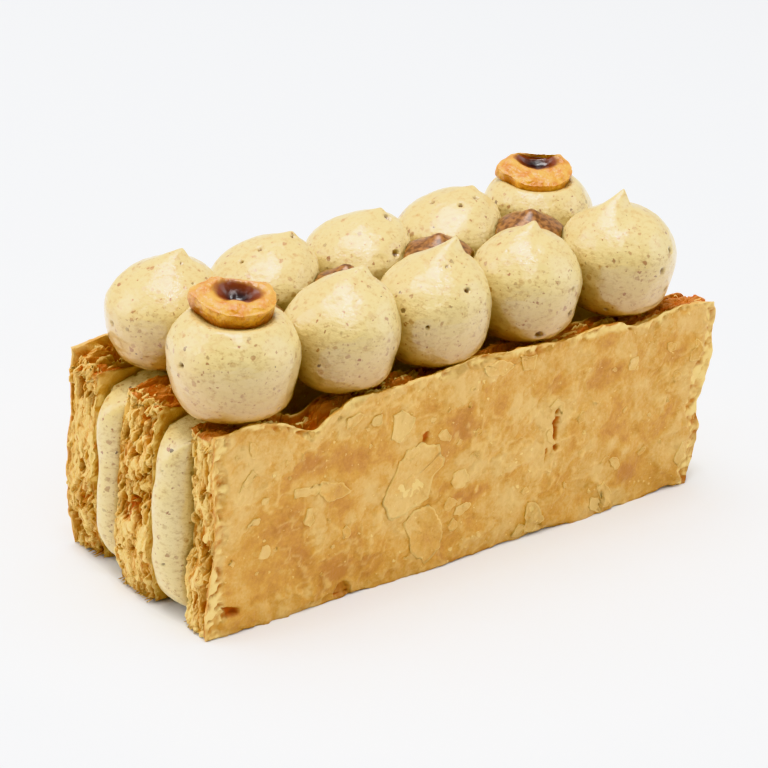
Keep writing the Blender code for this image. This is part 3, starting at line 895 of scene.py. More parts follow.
def build_slab(slab, step):
    seed = slab_seed(slab)
    depth = slab.back - slab.front
    u_steps = length_steps(slab, step)
    v_steps = np.linspace(0.0, 1.0, round(depth / PLANE_STEP) + 1)
    w_steps = np.linspace(0.0, 1.0, round(SLAB_HEIGHT / step) + 1)
    points, faces = lattice_surface(u_steps, v_steps, w_steps)
    u, v, w = points.T
    y = mix(slab.front, slab.back, v)
    along = np.column_stack([mix(slab.left, slab.right, u), y, SLAB_HEIGHT * w])
    # The outer skin reaches the knife's line; towards the cream the crumb is shallow.
    from_skin = {-1: y - slab.front, 0: np.full(len(y), np.inf), 1: slab.back - y}[slab.outer]
    from_cream = np.minimum(np.abs(y - slab.front), np.abs(slab.back - y))
    kept = smooth_step(from_skin, SKIN_THICKNESS, SKIN_THICKNESS + 0.5)
    limit = mix(SHALLOW, DEEP, smooth_step(from_cream, 0.0, 1.5))
    at_left, at_right, at_foot, at_top = [
        kept * np.minimum(trimmed_crumb(np.where(axis == np.arange(3), place, along), seed + 2), limit)
        for axis, place in ((0, slab.left), (0, slab.right), (2, 0.0), (2, SLAB_HEIGHT))
    ]
    fray = FRAY * smooth_noise(along, FRAY_LENGTH, seed + 1, 4) - SET_BACK
    sunk = pocket(slab, along[:, 0], y) * (0.4 + 1.1 * splinters(along, (3.0, 1.2, 3.0), seed + 17)[0])
    top = slab_top(slab, along[:, 0], y) + 0.6 * fray - at_top - sunk
    # The slab stands on a few low spots of its crumb, and its skin ends a little above the table.
    foot_amount = np.clip(0.2 + 0.5 * smooth_noise(along, 5.0, seed + 7, 2), 0.0, 0.9)
    foot = 0.5 * at_foot + (1.0 - kept) * foot_amount
    z = mix(foot, top, w)
    left, right = slab_ends(slab, y, z)
    x = mix(left - 0.6 * fray + at_left, right + 0.8 * fray - at_right, u)
    # Colour of the crumb: where it lies back it takes the deep colour, partly a deeper bake and partly painted
    # shade, and where it stands out a painted highlight. It has toasted and pale stretches and grows paler
    # towards the top. The top away from the skin is darker, partly toasted and partly painted shade under the
    # kisses, and the open pocket gets painted shade.
    inset = np.select([u == 0.0, u == 1.0, w == 0.0, w == 1.0], [at_left, at_right, at_foot, at_top], 0.0)
    pale = 2.4 * smooth_noise(along, 4.0, seed + 4, 2) - 0.8 + 0.6 * w
    edge = 0.7 * smooth_step(inset, 1.1, 0.4) * kept
    top_toast_and_shade = 0.8 * (w == 1.0) * smooth_step(from_skin + 0.6 * fray, 0.6, 2.4)
    deep = np.maximum(smooth_step(inset, 1.2, 2.1), np.maximum(top_toast_and_shade, smooth_step(sunk, 0.3, 2.0))) * kept
    crumb = kept * 1.0
    margin = smooth_step(np.minimum(np.minimum(x - left, right - x), np.minimum(z, top - z)), 0.0, 0.8)
    for side, place in ((-1, 0.0), (1, 1.0)):
        face = v == place
        shown = slab.outer == side
        patches = face_patches(slab) if shown else ()
        relief, face_pale, face_edge, face_deep = baked_skin(x[face], z[face], seed + side, patches)
        from_end = np.minimum(x - left, right - x)[face]
        from_top = (slab_top(slab, x, y) - z)[face]
        worn_and_lit, worn_depth = worn_border(x[face], z[face], from_end, from_top, seed + 30 + side)
        relief = mix(relief, -worn_depth, worn_and_lit)
        relief = np.where(relief < 0.0, relief * margin[face], relief)
        y[face] += side * np.clip(relief, LOWEST_RELIEF, HIGHEST_RELIEF) if shown else -side * CREAM_GAP
        # In a worn border the crumb gets a painted highlight where it stands out and painted shade where it
        # lies deep.
        face_edge = np.maximum(face_edge, 0.9 * worn_and_lit * smooth_step(worn_depth, 0.55, 0.15))
        face_deep = mix(face_deep, 0.7 * smooth_step(worn_depth, 0.5, 0.8), worn_and_lit)
        pale[face], edge[face], deep[face], crumb[face] = face_pale, face_edge, face_deep, 0.0
    values = {"pale": pale, "edge": edge, "deep": deep, "crumb": crumb}
    piece = build_mesh(slab.name + "_body", np.column_stack([x, y, z]), faces, PASTRY, values)
    # Crumb breaks with sharp edges, so only the two baked faces are shaded smooth.
    across = v[faces]
    on_face = (np.ptp(across, axis=1) == 0.0) & np.isin(across[:, 0], (0.0, 1.0))
    piece.data.polygons.foreach_set("use_smooth", on_face)
    print(piece.name, "has", len(faces), "faces")
    return piece


FACE_STEP = 0.38
HIDDEN_STEP = 0.34
BODIES = {slab.name: build_slab(slab, FACE_STEP if slab.outer else HIDDEN_STEP) for slab in SLABS}

# %% [markdown]
# ## Flakes
# Scraps of thinner leaves stuck to the skin while it baked. Each is a thin sheet with a crisp, angular border
# that follows the skin below it, and a painted highlight along that border. The large ones are placed by their
# corners; smaller ones are strewn with a fixed seed over both outer faces.

# %% Flakes on the outer faces
# corners: x and z of each, in mm. lift: how far its border curls up. pale: 1 is pale, -1 is toasted.
Flake = collections.namedtuple("Flake", "corners lift pale")
FRONT_FLAKES = (
    Flake(((-52.2, 28.3), (-49.1, 31.8), (-48.1, 30.4), (-49.6, 28.9)), 0.25, 0.9),
    Flake(((-49.5, 20.4), (-47.9, 21.6), (-46.6, 21.2), (-47.2, 20.1)), 0.25, 1.4),
    Flake(((-37.8, 18.2), (-37.1, 20.6), (-36.1, 20.4), (-35.4, 17.8), (-36.6, 17.0)), 0.25, 1.5),
    Flake(((-40.0, 25.4), (-36.5, 24.7), (-33.4, 24.8), (-35.4, 22.9), (-39.8, 23.6)), 0.3, 1.0),
    Flake(
        ((-34.2, 24.8), (-29.4, 23.9), (-28.0, 21.6), (-29.8, 20.6), (-33.2, 21.2), (-34.8, 23.0)),
        0.35, 0.8),
    Flake(
        ((-19.2, 29.5), (-18.6, 33.8), (-16.6, 34.6), (-14.2, 32.6), (-14.6, 30.4), (-17.4, 28.6)),
        0.3, 1.9),
    Flake((
        (-20.5, 17.0), (-19.5, 21.0), (-17.0, 24.0), (-14.5, 25.5), (-11.5, 26.2), (-8.2, 25.8),
        (-7.0, 22.0), (-8.6, 18.0),
        (-9.0, 14.8), (-12.0, 13.6), (-15.6, 13.2), (-19.0, 13.6),
    ), 0.03, 0.7),
    Flake(((-15.2, 20.2), (-13.6, 21.0), (-12.4, 19.4), (-13.0, 17.8), (-15.0, 18.0)), 0.2, 0.6),
    Flake(((-15.0, 11.8), (-9.5, 13.0), (-6.0, 9.5), (-6.6, 4.0), (-10.5, 2.0), (-13.0, 5.5)), 0.03, 0.6),
    Flake(((-4.8, 16.8), (-4.3, 18.9), (-1.8, 18.9), (-0.4, 16.6), (-2.2, 15.3), (-4.0, 15.6)), 0.3, 1.1),
    Flake(((13.8, 7.6), (16.6, 6.8), (18.2, 3.0), (15.8, 0.8), (14.4, 1.0), (13.6, 4.8)), 0.6, 1.4),
    Flake(((11.0, 1.4), (12.6, 3.6), (13.9, 2.8), (13.4, 0.6), (12.0, 0.5)), 0.5, 1.3),
    Flake(((18.0, 26.4), (19.4, 28.0), (21.4, 26.6), (21.0, 24.4), (20.6, 26.0), (19.0, 25.6)), 0.4, 1.6),
    Flake(((31.4, 6.5), (33.4, 6.9), (35.4, 4.2), (34.8, 1.2), (33.6, 1.2), (32.2, 4.4)), 0.4, 0.9),
    Flake(((0.6, 39.2), (5.2, 39.4), (9.0, 37.6), (6.2, 36.4), (2.0, 37.0)), 0.2, 1.2),
    Flake(((9.6, 39.0), (14.2, 37.8), (13.6, 35.4), (11.0, 35.8)), 0.2, 1.2),
)
FLAKE_RINGS = (1.0, 0.9, 0.6, 0.3)
FLAKE_BACK = 0.94
FLAKE_THICKNESS = 0.13
FLAKE_SINK = 0.33


def strewn_flakes(slab, count, seed):
    """Small flakes at random places of a face, each an uneven polygon."""
    rng = np.random.default_rng(seed)
    flakes = []
    for _ in range(count):
        middle = rng.uniform((slab.left + 4.0, 2.0), (slab.right - 4.0, SLAB_HEIGHT - 3.0))
        size = 0.35 + 1.3 * rng.random() ** 2.5
        stretch = rng.uniform(1.0, 1.9)
        turn = rng.uniform(0.0, math.pi)
        angles = np.sort(rng.uniform(0.0, 0.9, 7) + np.arange(7)) * 2.0 * math.pi / 7.0
        reach = size * rng.uniform(0.6, 1.1, (7, 1))
        corners = reach * np.column_stack([stretch * np.cos(angles), np.sin(angles)])
        turned = corners @ np.array(((math.cos(turn), math.sin(turn)), (-math.sin(turn), math.cos(turn))))
        flakes.append(
            Flake(tuple(map(tuple, middle + turned)), rng.uniform(0.1, 0.3), rng.uniform(0.6, 1.8)))
    return flakes


def flake_outline(corners, rng):
    """The flake's border, a point every half millimetre, anticlockwise, slightly ragged."""
    corners = np.array(corners)
    after = np.roll(corners, -1, axis=0)
    if (corners[:, 0] * after[:, 1] - after[:, 0] * corners[:, 1]).sum() < 0.0:
        corners = corners[::-1]
        after = np.roll(corners, -1, axis=0)
    border = []
    for start, end in zip(corners, after):
        count = max(1, round(math.dist(start, end) / 0.5))
        border += [mix(start, end, share) for share in np.arange(count) / count]
    border = np.array(border)
    size = np.ptp(border, axis=0).min()
    spots = np.column_stack([border, np.full(len(border), rng.uniform(0.0, 50.0))])
    tears = [0.07 * size * smooth_noise(spots, 0.3 * size + 0.5, part, 3) for part in (1, 2)]
    return border + np.column_stack(tears) + rng.uniform(-0.14, 0.14, (len(border), 2))


def build_flakes(slab, flakes):
    rng = np.random.default_rng(slab_seed(slab))
    side = slab.outer
    all_points, all_faces, pale, edge = [], [], [], []
    for flake in flakes:
        outline = flake_outline(flake.corners, rng)
        middle = outline.mean(axis=0)
        count = len(outline)
        rings = [middle + share * (outline - middle) for share in FLAKE_RINGS]
        flat = np.concatenate([middle + FLAKE_BACK * (outline - middle), *rings, middle[None]])
        relief = baked_skin(flat[:, 0], flat[:, 1], slab_seed(slab) + side, face_patches(slab))[0]
        curl = flake.lift * np.clip(rng.normal(0.3, 0.5, count), 0.0, 1.0)
        curl = (curl + np.roll(curl, 1) + np.roll(curl, -1)) / 3.0
        # Its back border is sunk into the skin, its rim curls up, and its middle lies flat.
        rise = FLAKE_THICKNESS + np.concatenate(
            [np.full(count, -FLAKE_SINK), curl, 0.4 * curl, np.zeros(2 * count + 1)])
        face_y = slab.front if side < 0 else slab.back
        start = sum(map(len, all_points))
        raised = face_y + side * (np.clip(relief, LOWEST_RELIEF, HIGHEST_RELIEF) + rise)
        all_points.append(np.column_stack([flat[:, 0], raised, flat[:, 1]]))
        ring = np.arange(count)
        after = (ring + 1) % count
        made = [tuple(ring[::-1])]
        for row in range(len(FLAKE_RINGS)):
            made += zip(ring + row * count, after + row * count, after + (row + 1) * count,
                        ring + (row + 1) * count)
        inner = len(FLAKE_RINGS) * count
        made += [(one + inner, other + inner, inner + count) for one, other in zip(ring, after)]
        # The outline runs anticlockwise seen from the front, which is clockwise seen from the back.
        all_faces += [
            [int(corner) + start for corner in (face if side < 0 else face[::-1])] for face in made]
        pale.append(np.full(len(flat), flake.pale))
        # Its border gets a painted highlight.
        edge.append(np.concatenate([np.full(2 * count, 0.7), np.full(len(flat) - 2 * count, 0.1)]))
    values = {"pale": np.concatenate(pale), "edge": np.concatenate(edge)}
    piece = build_mesh(slab.name + "_flakes", np.concatenate(all_points), all_faces, PASTRY, values)
    print(piece.name, "has", len(flakes), "flakes")
    return piece


STREWN = 60
FLAKES = {
    "pastry_front": build_flakes(SLABS[0], [*FRONT_FLAKES, *strewn_flakes(SLABS[0], STREWN, 5)]),
    "pastry_back": build_flakes(SLABS[2], strewn_flakes(SLABS[2], 2 * STREWN, 6)),
}

# %% [markdown]
# ## Geometry Nodes trees
# What repeats, or follows a rule, is made by a tree of geometry nodes with named inputs for its sizes. Each
# tree is run once on a piece, and its result is kept as a plain mesh.

# %% Make a tree and run it
def make_tree(name, sizes):
    """A tree with named inputs, from a map of name to (kind of socket, default): (tree, inputs, output)."""
    tree = bpy.data.node_groups.new(name, "GeometryNodeTree")
    tree.interface.new_socket("Geometry", in_out="INPUT", socket_type="NodeSocketGeometry")
    for label, (kind, value) in sizes.items():
        socket = tree.interface.new_socket(label, in_out="INPUT", socket_type="NodeSocket" + kind)
        if value is not None:
            socket.default_value = value
    tree.interface.new_socket("Geometry", in_out="OUTPUT", socket_type="NodeSocketGeometry")
    return tree, add(tree, "NodeGroupInput").outputs, add(tree, "NodeGroupOutput").inputs[0]


def run_tree(piece, tree, sizes):
    """Gives the piece the mesh that the tree makes of it with these sizes."""
    modifier = piece.modifiers.new(tree.name, "NODES")
    modifier.node_group = tree
    for socket in tree.interface.items_tree:
        if socket.in_out == "INPUT" and socket.name in sizes:
            modifier[socket.identifier] = sizes[socket.name]
    graph = bpy.context.evaluated_depsgraph_get()
    before = piece.data
    finished = piece.evaluated_get(graph)
    made = bpy.data.meshes.new_from_object(finished, preserve_all_data_layers=True, depsgraph=graph)
    piece.modifiers.remove(modifier)
    piece.data = made
    bpy.data.meshes.remove(before)
    made.name = piece.name
    return piece


print("trees so far:", len(bpy.data.node_groups))

# %% [markdown]
# ## Leaves
# A trimmed slab shows its lamination: papery leaves a sixth of a millimetre thick, pushed apart by steam into
# lens-shaped hollows, with chipped, sunlit edges. One leaf is a band along the slab's outline. The tree copies
# it along Y, then one field of noise moves all copies together, so neighbours stay in order while the gaps
# between them open and close, and a second field chips their edges.

# %% The tree of leaves
def make_leaf_tree():
    tree, given, result = make_tree("Pastry leaves", {
        "Leaves": ("Int", 10), "First": ("Float", 0.0), "Pitch": ("Float", 0.5 * MILLIMETRE),
        "Wave": ("Float", 0.9 * MILLIMETRE), "Wave length": ("Float", 17.0 * MILLIMETRE),
        "Wave depth": ("Float", 4.0 * MILLIMETRE), "Ragged": ("Float", 3.0 * MILLIMETRE),
        "Ragged size": ("Float", 4.5 * MILLIMETRE), "Thickness": ("Float", 0.16 * MILLIMETRE),
        "Seed": ("Float", 0.0), "Material": ("Material", None),
    })
    start = add(tree, "ShaderNodeCombineXYZ", {"Y": given["First"]})
    pitch = add(tree, "ShaderNodeCombineXYZ", {"Y": given["Pitch"]})
    line = add(tree, "GeometryNodeMeshLine", {
        "Count": given["Leaves"], "Start Location": start.outputs[0], "Offset": pitch.outputs[0]})
    copies = add(tree, "GeometryNodeInstanceOnPoints",
                 {"Points": line.outputs[0], "Instance": given["Geometry"]})
    leaves = add(tree, "GeometryNodeRealizeInstances", {0: copies.outputs[0]})
    where = add(tree, "GeometryNodeInputPosition").outputs[0]
    rim = add(tree, "GeometryNodeInputNamedAttribute", {"Name": "rim"}, data_type="FLOAT").outputs[0]
    outward = add(tree, "GeometryNodeInputNamedAttribute", {"Name": "outward"},
                  data_type="FLOAT_VECTOR").outputs[0]
    reach = add(tree, "GeometryNodeInputNamedAttribute", {"Name": "reach"}, data_type="FLOAT").outputs[0]

    # The wave: long along the slab, short across it, so it opens lens-shaped gaps.
    period = add(tree, "ShaderNodeCombineXYZ", {
        "X": given["Wave length"], "Y": given["Wave depth"], "Z": given["Wave length"]})
    place = combine(tree, "DIVIDE", where, period.outputs[0])
    swell = add(tree, "ShaderNodeTexNoise", {
        "Vector": place, "W": given["Seed"], "Scale": 1.0, "Detail": 1.0, "Roughness": 0.4},
        noise_dimensions="4D")
    centred = calc(tree, "SUBTRACT", swell.outputs[0], 0.5)
    wave = calc(tree, "MULTIPLY", centred, given["Wave"])
    sideways = add(tree, "ShaderNodeCombineXYZ", {"Y": wave})

    # Ragged edges: a leaf's rim is chipped back by noise that differs from leaf to leaf.
    size = add(tree, "ShaderNodeCombineXYZ", {
        "X": given["Ragged size"], "Y": 1.1 * MILLIMETRE, "Z": given["Ragged size"]})
    spot = combine(tree, "DIVIDE", where, size.outputs[0])
    chips = add(tree, "ShaderNodeTexNoise", {
        "Vector": spot, "W": given["Seed"], "Scale": 1.0, "Detail": 3.0, "Roughness": 0.6},
        noise_dimensions="4D")
    chipped = remap(tree, chips.outputs[0], 0.52, 0.38, 1.0, 0.2)
    back = calc(tree, "MULTIPLY", chipped, given["Ragged"])
    deeper = calc(tree, "ADD", reach, back)
    pulled = calc(tree, "MULTIPLY", deeper, rim)
    inward = calc(tree, "MULTIPLY", pulled, -1.0)
    chip = add(tree, "ShaderNodeVectorMath", {0: outward, "Scale": inward}, operation="SCALE")
    offset = combine(tree, "ADD", sideways.outputs[0], chip.outputs[0])
    moved = add(tree, "GeometryNodeSetPosition",
                {"Geometry": leaves.outputs[0], "Offset": offset})

    # A second side and a border give each leaf its thickness.
    thick = add(tree, "GeometryNodeExtrudeMesh", {
        "Mesh": moved.outputs[0], "Offset Scale": given["Thickness"], "Individual": False})
    far_side = add(tree, "GeometryNodeFlipFaces", {0: moved.outputs[0]})
    both = add(tree, "GeometryNodeJoinGeometry")
    tree.links.new(thick.outputs[0], both.inputs[0])
    tree.links.new(far_side.outputs[0], both.inputs[0])
    closed = add(tree, "GeometryNodeMergeByDistance", {0: both.outputs[0], "Distance": 0.002 * MILLIMETRE})
    real = add(tree, "GeometryNodeRealizeInstances", {0: closed.outputs[0]})
    finish = add(tree, "GeometryNodeSetMaterial",
                 {"Geometry": real.outputs[0], "Material": given["Material"]})
    tree.links.new(finish.outputs[0], result)
    return tree


LEAF_TREE = make_leaf_tree()
print(LEAF_TREE.name, "has", len(LEAF_TREE.nodes), "nodes")


# %% Leaves of each slab
LEAF_STEP = 0.5
LEAF_ROWS = (0.0, 0.45, 1.3, 3.0)


def leaf_band(slab):
    """One leaf: a band inwards from the slab's outline, with each point's way out and how far in it lies."""
    middle = (slab.front + slab.back) / 2.0
    wide = round((slab.right - slab.left) / LEAF_STEP)
    high = round(SLAB_HEIGHT / LEAF_STEP)
    # Once round the outline: along the foot, up the right end, back along the top and down the left end.
    right = np.arange(wide) / wide
    up = np.arange(high) / high
    u = np.concatenate([right, np.ones(high), 1.0 - right, np.zeros(high)])
    w = np.concatenate([np.zeros(wide), up, np.ones(wide), 1.0 - up])
    out_x = (u == 1.0) * 1.0 - (u == 0.0) * 1.0
    out_z = (w == 1.0) * 1.0 - (w == 0.0) * 0.3
    rows = []
    for depth in LEAF_ROWS:
        flat_x = mix(slab.left + depth, slab.right - depth, u)
        z = mix(0.3 * depth, slab_top(slab, flat_x, middle) - depth, w)
        left_end, right_end = slab_ends(slab, middle, z)
        x = mix(left_end + depth, right_end - depth, u)
        rows.append(np.column_stack([x, np.full(len(x), 0.0), z]))
    points = np.concatenate(rows)
    count = len(u)
    ring = np.arange(count)
    after = (ring + 1) % count
    faces = np.concatenate([
        np.column_stack(
            [ring + row * count, after + row * count, after + (row + 1) * count, ring + (row + 1) * count])
        for row in range(len(LEAF_ROWS) - 1)
    ])
    depth = np.repeat(LEAF_ROWS, count)
    outward = np.tile(np.column_stack([out_x, np.zeros(count), out_z]), (len(LEAF_ROWS), 1))
    return points, faces, outward, depth


def leaf_reach(slab, points):
    """How far the leaves' upper edges stay back where the slab has an open pocket, in millimetres."""
    if slab.outer != -1:
        return np.zeros(len(points))
    back = POCKET_DEPTH * bumps_at(points[:, 0], ((POCKET_X, POCKET_WIDTH, 1.0),))
    return np.minimum(back * (points[:, 2] > SLAB_HEIGHT / 2.0), LEAF_ROWS[-2])


def build_leaves(slab, pitch, seed):
    points, faces, outward, depth = leaf_band(slab)
    values = {
        "rim": np.clip(1.0 - depth / LEAF_ROWS[-1], 0.0, 1.0),
        # Their rims get a painted highlight; further in they take the deep colour, partly a deeper bake and
        # partly painted shade.
        "edge": 0.6 * (1.0 - smooth_step(depth, 0.0, 0.8)),
        "deep": 0.9 * smooth_step(depth, 0.4, 2.6),
        "pale": np.full(len(depth), -0.2),
        "crumb": np.full(len(depth), 0.5),
        "reach": leaf_reach(slab, points) * MILLIMETRE,
    }
    piece = build_mesh(slab.name + "_leaves", points, faces, PASTRY, values)
    layer = piece.data.attributes.new("outward", "FLOAT_VECTOR", "POINT")
    layer.data.foreach_set("vector", outward.ravel().astype(np.float32))
    first = slab.front + SKIN_THICKNESS + 0.45
    last = slab.back - SKIN_THICKNESS - 0.45
    count = round((last - first) / pitch) + 1
    run_tree(piece, LEAF_TREE, {
        "Leaves": count, "First": first * MILLIMETRE, "Pitch": (last - first) / (count - 1) * MILLIMETRE,
        "Seed": float(seed), "Material": PASTRY,
    })
    print(piece.name, "has", count, "leaves and", len(piece.data.polygons), "faces")
    return piece


LEAVES = {slab.name: build_leaves(slab, 0.55, 3 + index) for index, slab in enumerate(SLABS)}

# %% [markdown]
# ## Kisses
# A kiss is piped from a round nozzle held still: a ball that settles on its foot, presses flat against its
# neighbours, and is drawn up to a small peak as the nozzle leaves. That is a rule with a few sizes, so one tree
# makes all ten, each with its own numbers. Air bubbles that broke at the surface leave small pits.

# %% Kiss sizes
KISS_LIFT = 0.84
KISS_LEAN = 0.6
KISS_FLARE = 0.55
SEAT_HEIGHT = 39.5
WALL_GAP = 0.3

# x: place along the row. radius: half its width. dome: its upper half's height as a share of the radius.
# reach: how far along X its tip is from x. tip: the tip's height.
Kiss = collections.namedtuple("Kiss", "x radius dome reach tip")
FRONT_ROW = (
    Kiss(-47.4, 11.6, 0.84, 0.0, 59.9),
    Kiss(-24.6, 10.5, 0.92, 4.7, 60.2),
    Kiss(-4.2, 10.6, 0.92, 4.5, 61.1),
    Kiss(17.3, 10.6, 0.92, 1.5, 60.6),
    Kiss(40.2, 11.2, 0.88, 0.2, 62.6),
)
BACK_ROW = (
    Kiss(-46.2, 10.5, 0.85, 3.9, 59.4),
    Kiss(-24.4, 10.3, 0.8, 5.8, 57.7),
    Kiss(-3.2, 10.6, 0.8, 4.9, 58.4),
    Kiss(18.3, 10.6, 0.84, 5.5, 58.5),
    Kiss(40.5, 11.0, 0.92, 0.0, 59.4),
)

# x, y: the middle of a nut's cut face. height: how high it is. seat: the lowest height of its dent.
# hollow: how far its hollow's middle is from its own, towards the broken edge.
Nut = collections.namedtuple("Nut", "name kiss x y height seat turn tilt roll hollow")
NUTS = (
    Nut("hazelnut_left", FRONT_ROW[0], -46.9, -12.6, 60.9, 55.3, -38.0, 16.0, 3.0, 0.6),
    Nut("hazelnut_right", BACK_ROW[4], 40.0, 11.4, 59.6, 55.2, -33.0, 20.0, 1.0, 2.2),
)


def kiss_middle(kiss):
    return SLAB_HEIGHT + KISS_LIFT * kiss.radius


def kiss_walls(row, index):
    """The planes along X where the kiss meets its neighbours, half a gap to each side."""
    kiss = row[index]
    left, right = kiss.x - 2.0 * kiss.radius, kiss.x + 2.0 * kiss.radius
    if index > 0:
        left = (row[index - 1].x + row[index - 1].radius + kiss.x - kiss.radius + WALL_GAP) / 2.0
    if index < len(row) - 1:
        right = (kiss.x + kiss.radius + row[index + 1].x - row[index + 1].radius - WALL_GAP) / 2.0
    return left, right


print("first kiss's middle is", round(kiss_middle(FRONT_ROW[0]), 1), "mm up")

# %% The tree of a kiss
def make_kiss_tree():
    tree, given, result = make_tree("Piped kiss", {
        "Radius": ("Float", 0.011), "Dome": ("Float", 0.9), "Reach": ("Float", 0.0),
        "Rise": ("Float", 0.002),
        "Run up": ("Float", 0.0045), "Drop": ("Float", 0.0009), "Breadth": ("Float", 0.0014),
        "Flare": ("Float", 0.32), "Lean": ("Float", 0.0),
        "Left wall": ("Float", -0.1), "Right wall": ("Float", 0.1), "Foot": ("Float", -0.009),
        "Dent": ("Float", 0.1), "Dent X": ("Float", 0.0), "Dent Y": ("Float", 0.0),
        "Dent curve": ("Float", 30.0),
        "Softness": ("Float", 0.0008), "Dent softness": ("Float", 0.0016), "Lumps": ("Float", 0.0012),
        "Seed": ("Float", 0.0),
        "Place": ("Vector", (0.0, 0.0, 0.0)), "Material": ("Material", None),
    })
    block = add(tree, "GeometryNodeMeshCube", {"Vertices X": 66, "Vertices Y": 66, "Vertices Z": 66})
    where = add(tree, "GeometryNodeInputPosition").outputs[0]
    heading = combine(tree, "NORMALIZE", where)
    # Lumps: the cream is never perfectly even.
    lumps = add(tree, "ShaderNodeTexNoise",
                {"Vector": heading, "W": given["Seed"], "Scale": 1.7, "Detail": 2.0},
                noise_dimensions="4D")
    uneven = calc(tree, "SUBTRACT", lumps.outputs[0], 0.5)
    radius = calc(tree, "MULTIPLY_ADD", uneven, given["Lumps"], given["Radius"])
    ball = add(tree, "ShaderNodeVectorMath", {0: heading, "Scale": radius}, operation="SCALE")
    flat_x, flat_y, z = add(tree, "ShaderNodeSeparateXYZ", {0: ball.outputs[0]}).outputs

    # The lower half settles: it spreads towards its foot.
    below = calc(tree, "DIVIDE", z, given["Radius"])
    low = remap(tree, below, 0.0, -1.0)
    settled = calc(tree, "POWER", low, 3.0)
    spread = calc(tree, "MULTIPLY_ADD", settled, given["Flare"], 1.0)
    wide = calc(tree, "MULTIPLY", flat_x, spread)
    # The upper half leans towards its tip.
    high = remap(tree, below)
    drawn = calc(tree, "POWER", high, 2.0)
    x = calc(tree, "MULTIPLY_ADD", drawn, given["Lean"], wide)
    y = calc(tree, "MULTIPLY", flat_y, spread)

    # The peak is a ridge that climbs along X, narrows to its tip and drops steeply after it.
    past = calc(tree, "SUBTRACT", x, given["Reach"])
    is_past = calc(tree, "GREATER_THAN", past, 0.0)
    slope = calc(tree, "DIVIDE", past, given["Run up"])
    climb = calc(tree, "ABSOLUTE", slope)
    step = calc(tree, "DIVIDE", past, given["Drop"])
    steep = calc(tree, "POWER", step, 2.0)
    along = add(tree, "ShaderNodeMix", {"Factor": is_past, 2: climb, 3: steep}).outputs[0]
    distance = calc(tree, "ABSOLUTE", past)
    breadth = calc(tree, "MULTIPLY_ADD", distance, 0.45, given["Breadth"])
    across = calc(tree, "DIVIDE", y, breadth)
    squared = add(tree, "ShaderNodeMath", {0: across, 1: across, 2: along}, operation="MULTIPLY_ADD")
    fall = calc(tree, "MULTIPLY", squared.outputs[0], -1.0)
    share = calc(tree, "EXPONENT", fall)
    peak = calc(tree, "MULTIPLY", share, given["Rise"])
    upper = calc(tree, "MULTIPLY_ADD", z, given["Dome"], peak)
    is_upper = calc(tree, "GREATER_THAN", z, 0.0)
    height = add(tree, "ShaderNodeMix", {"Factor": is_upper, 2: z, 3: upper}).outputs[0]

    # A nut's dent, the foot and the neighbours press it flat, with soft borders.
    dent_x = calc(tree, "SUBTRACT", x, given["Dent X"])
    dent_y = calc(tree, "SUBTRACT", y, given["Dent Y"])
    from_dent = add(tree, "ShaderNodeCombineXYZ", {"X": dent_x, "Y": dent_y}).outputs[0]
    squared = add(tree, "ShaderNodeVectorMath", {0: from_dent, 1: from_dent}, operation="DOT_PRODUCT")
    bowl = calc(tree, "MULTIPLY_ADD", squared.outputs["Value"], given["Dent curve"], given["Dent"])
    height = calc(tree, "SMOOTH_MIN", height, bowl, given["Dent softness"])
    height = calc(tree, "SMOOTH_MAX", height, given["Foot"], given["Softness"])
    side = calc(tree, "SMOOTH_MAX", x, given["Left wall"], given["Softness"])
    side = calc(tree, "SMOOTH_MIN", side, given["Right wall"], given["Softness"])
    pressed = add(tree, "ShaderNodeCombineXYZ", {"X": side, "Y": y, "Z": height})
    # How low each point lies, kept for the cream's painted shade near its foot.
    footing = remap(tree, below, 0.5, -0.95)
    marked = add(tree, "GeometryNodeStoreNamedAttribute",
                 {"Geometry": block.outputs[0], "Name": "foot", "Value": footing})
    shaped = add(tree, "GeometryNodeSetPosition",
                 {"Geometry": marked.outputs[0], "Position": pressed.outputs[0]})
    placed = add(tree, "GeometryNodeTransform",
                 {"Geometry": shaped.outputs[0], "Translation": given["Place"]})
    smooth = add(tree, "GeometryNodeSetShadeSmooth", {"Geometry": placed.outputs[0]})
    real = add(tree, "GeometryNodeRealizeInstances", {0: smooth.outputs[0]})
    finish = add(tree, "GeometryNodeSetMaterial",
                 {"Geometry": real.outputs[0], "Material": given["Material"]})
    tree.links.new(finish.outputs[0], result)
    return tree


KISS_TREE = make_kiss_tree()
print(KISS_TREE.name, "has", len(KISS_TREE.nodes), "nodes")

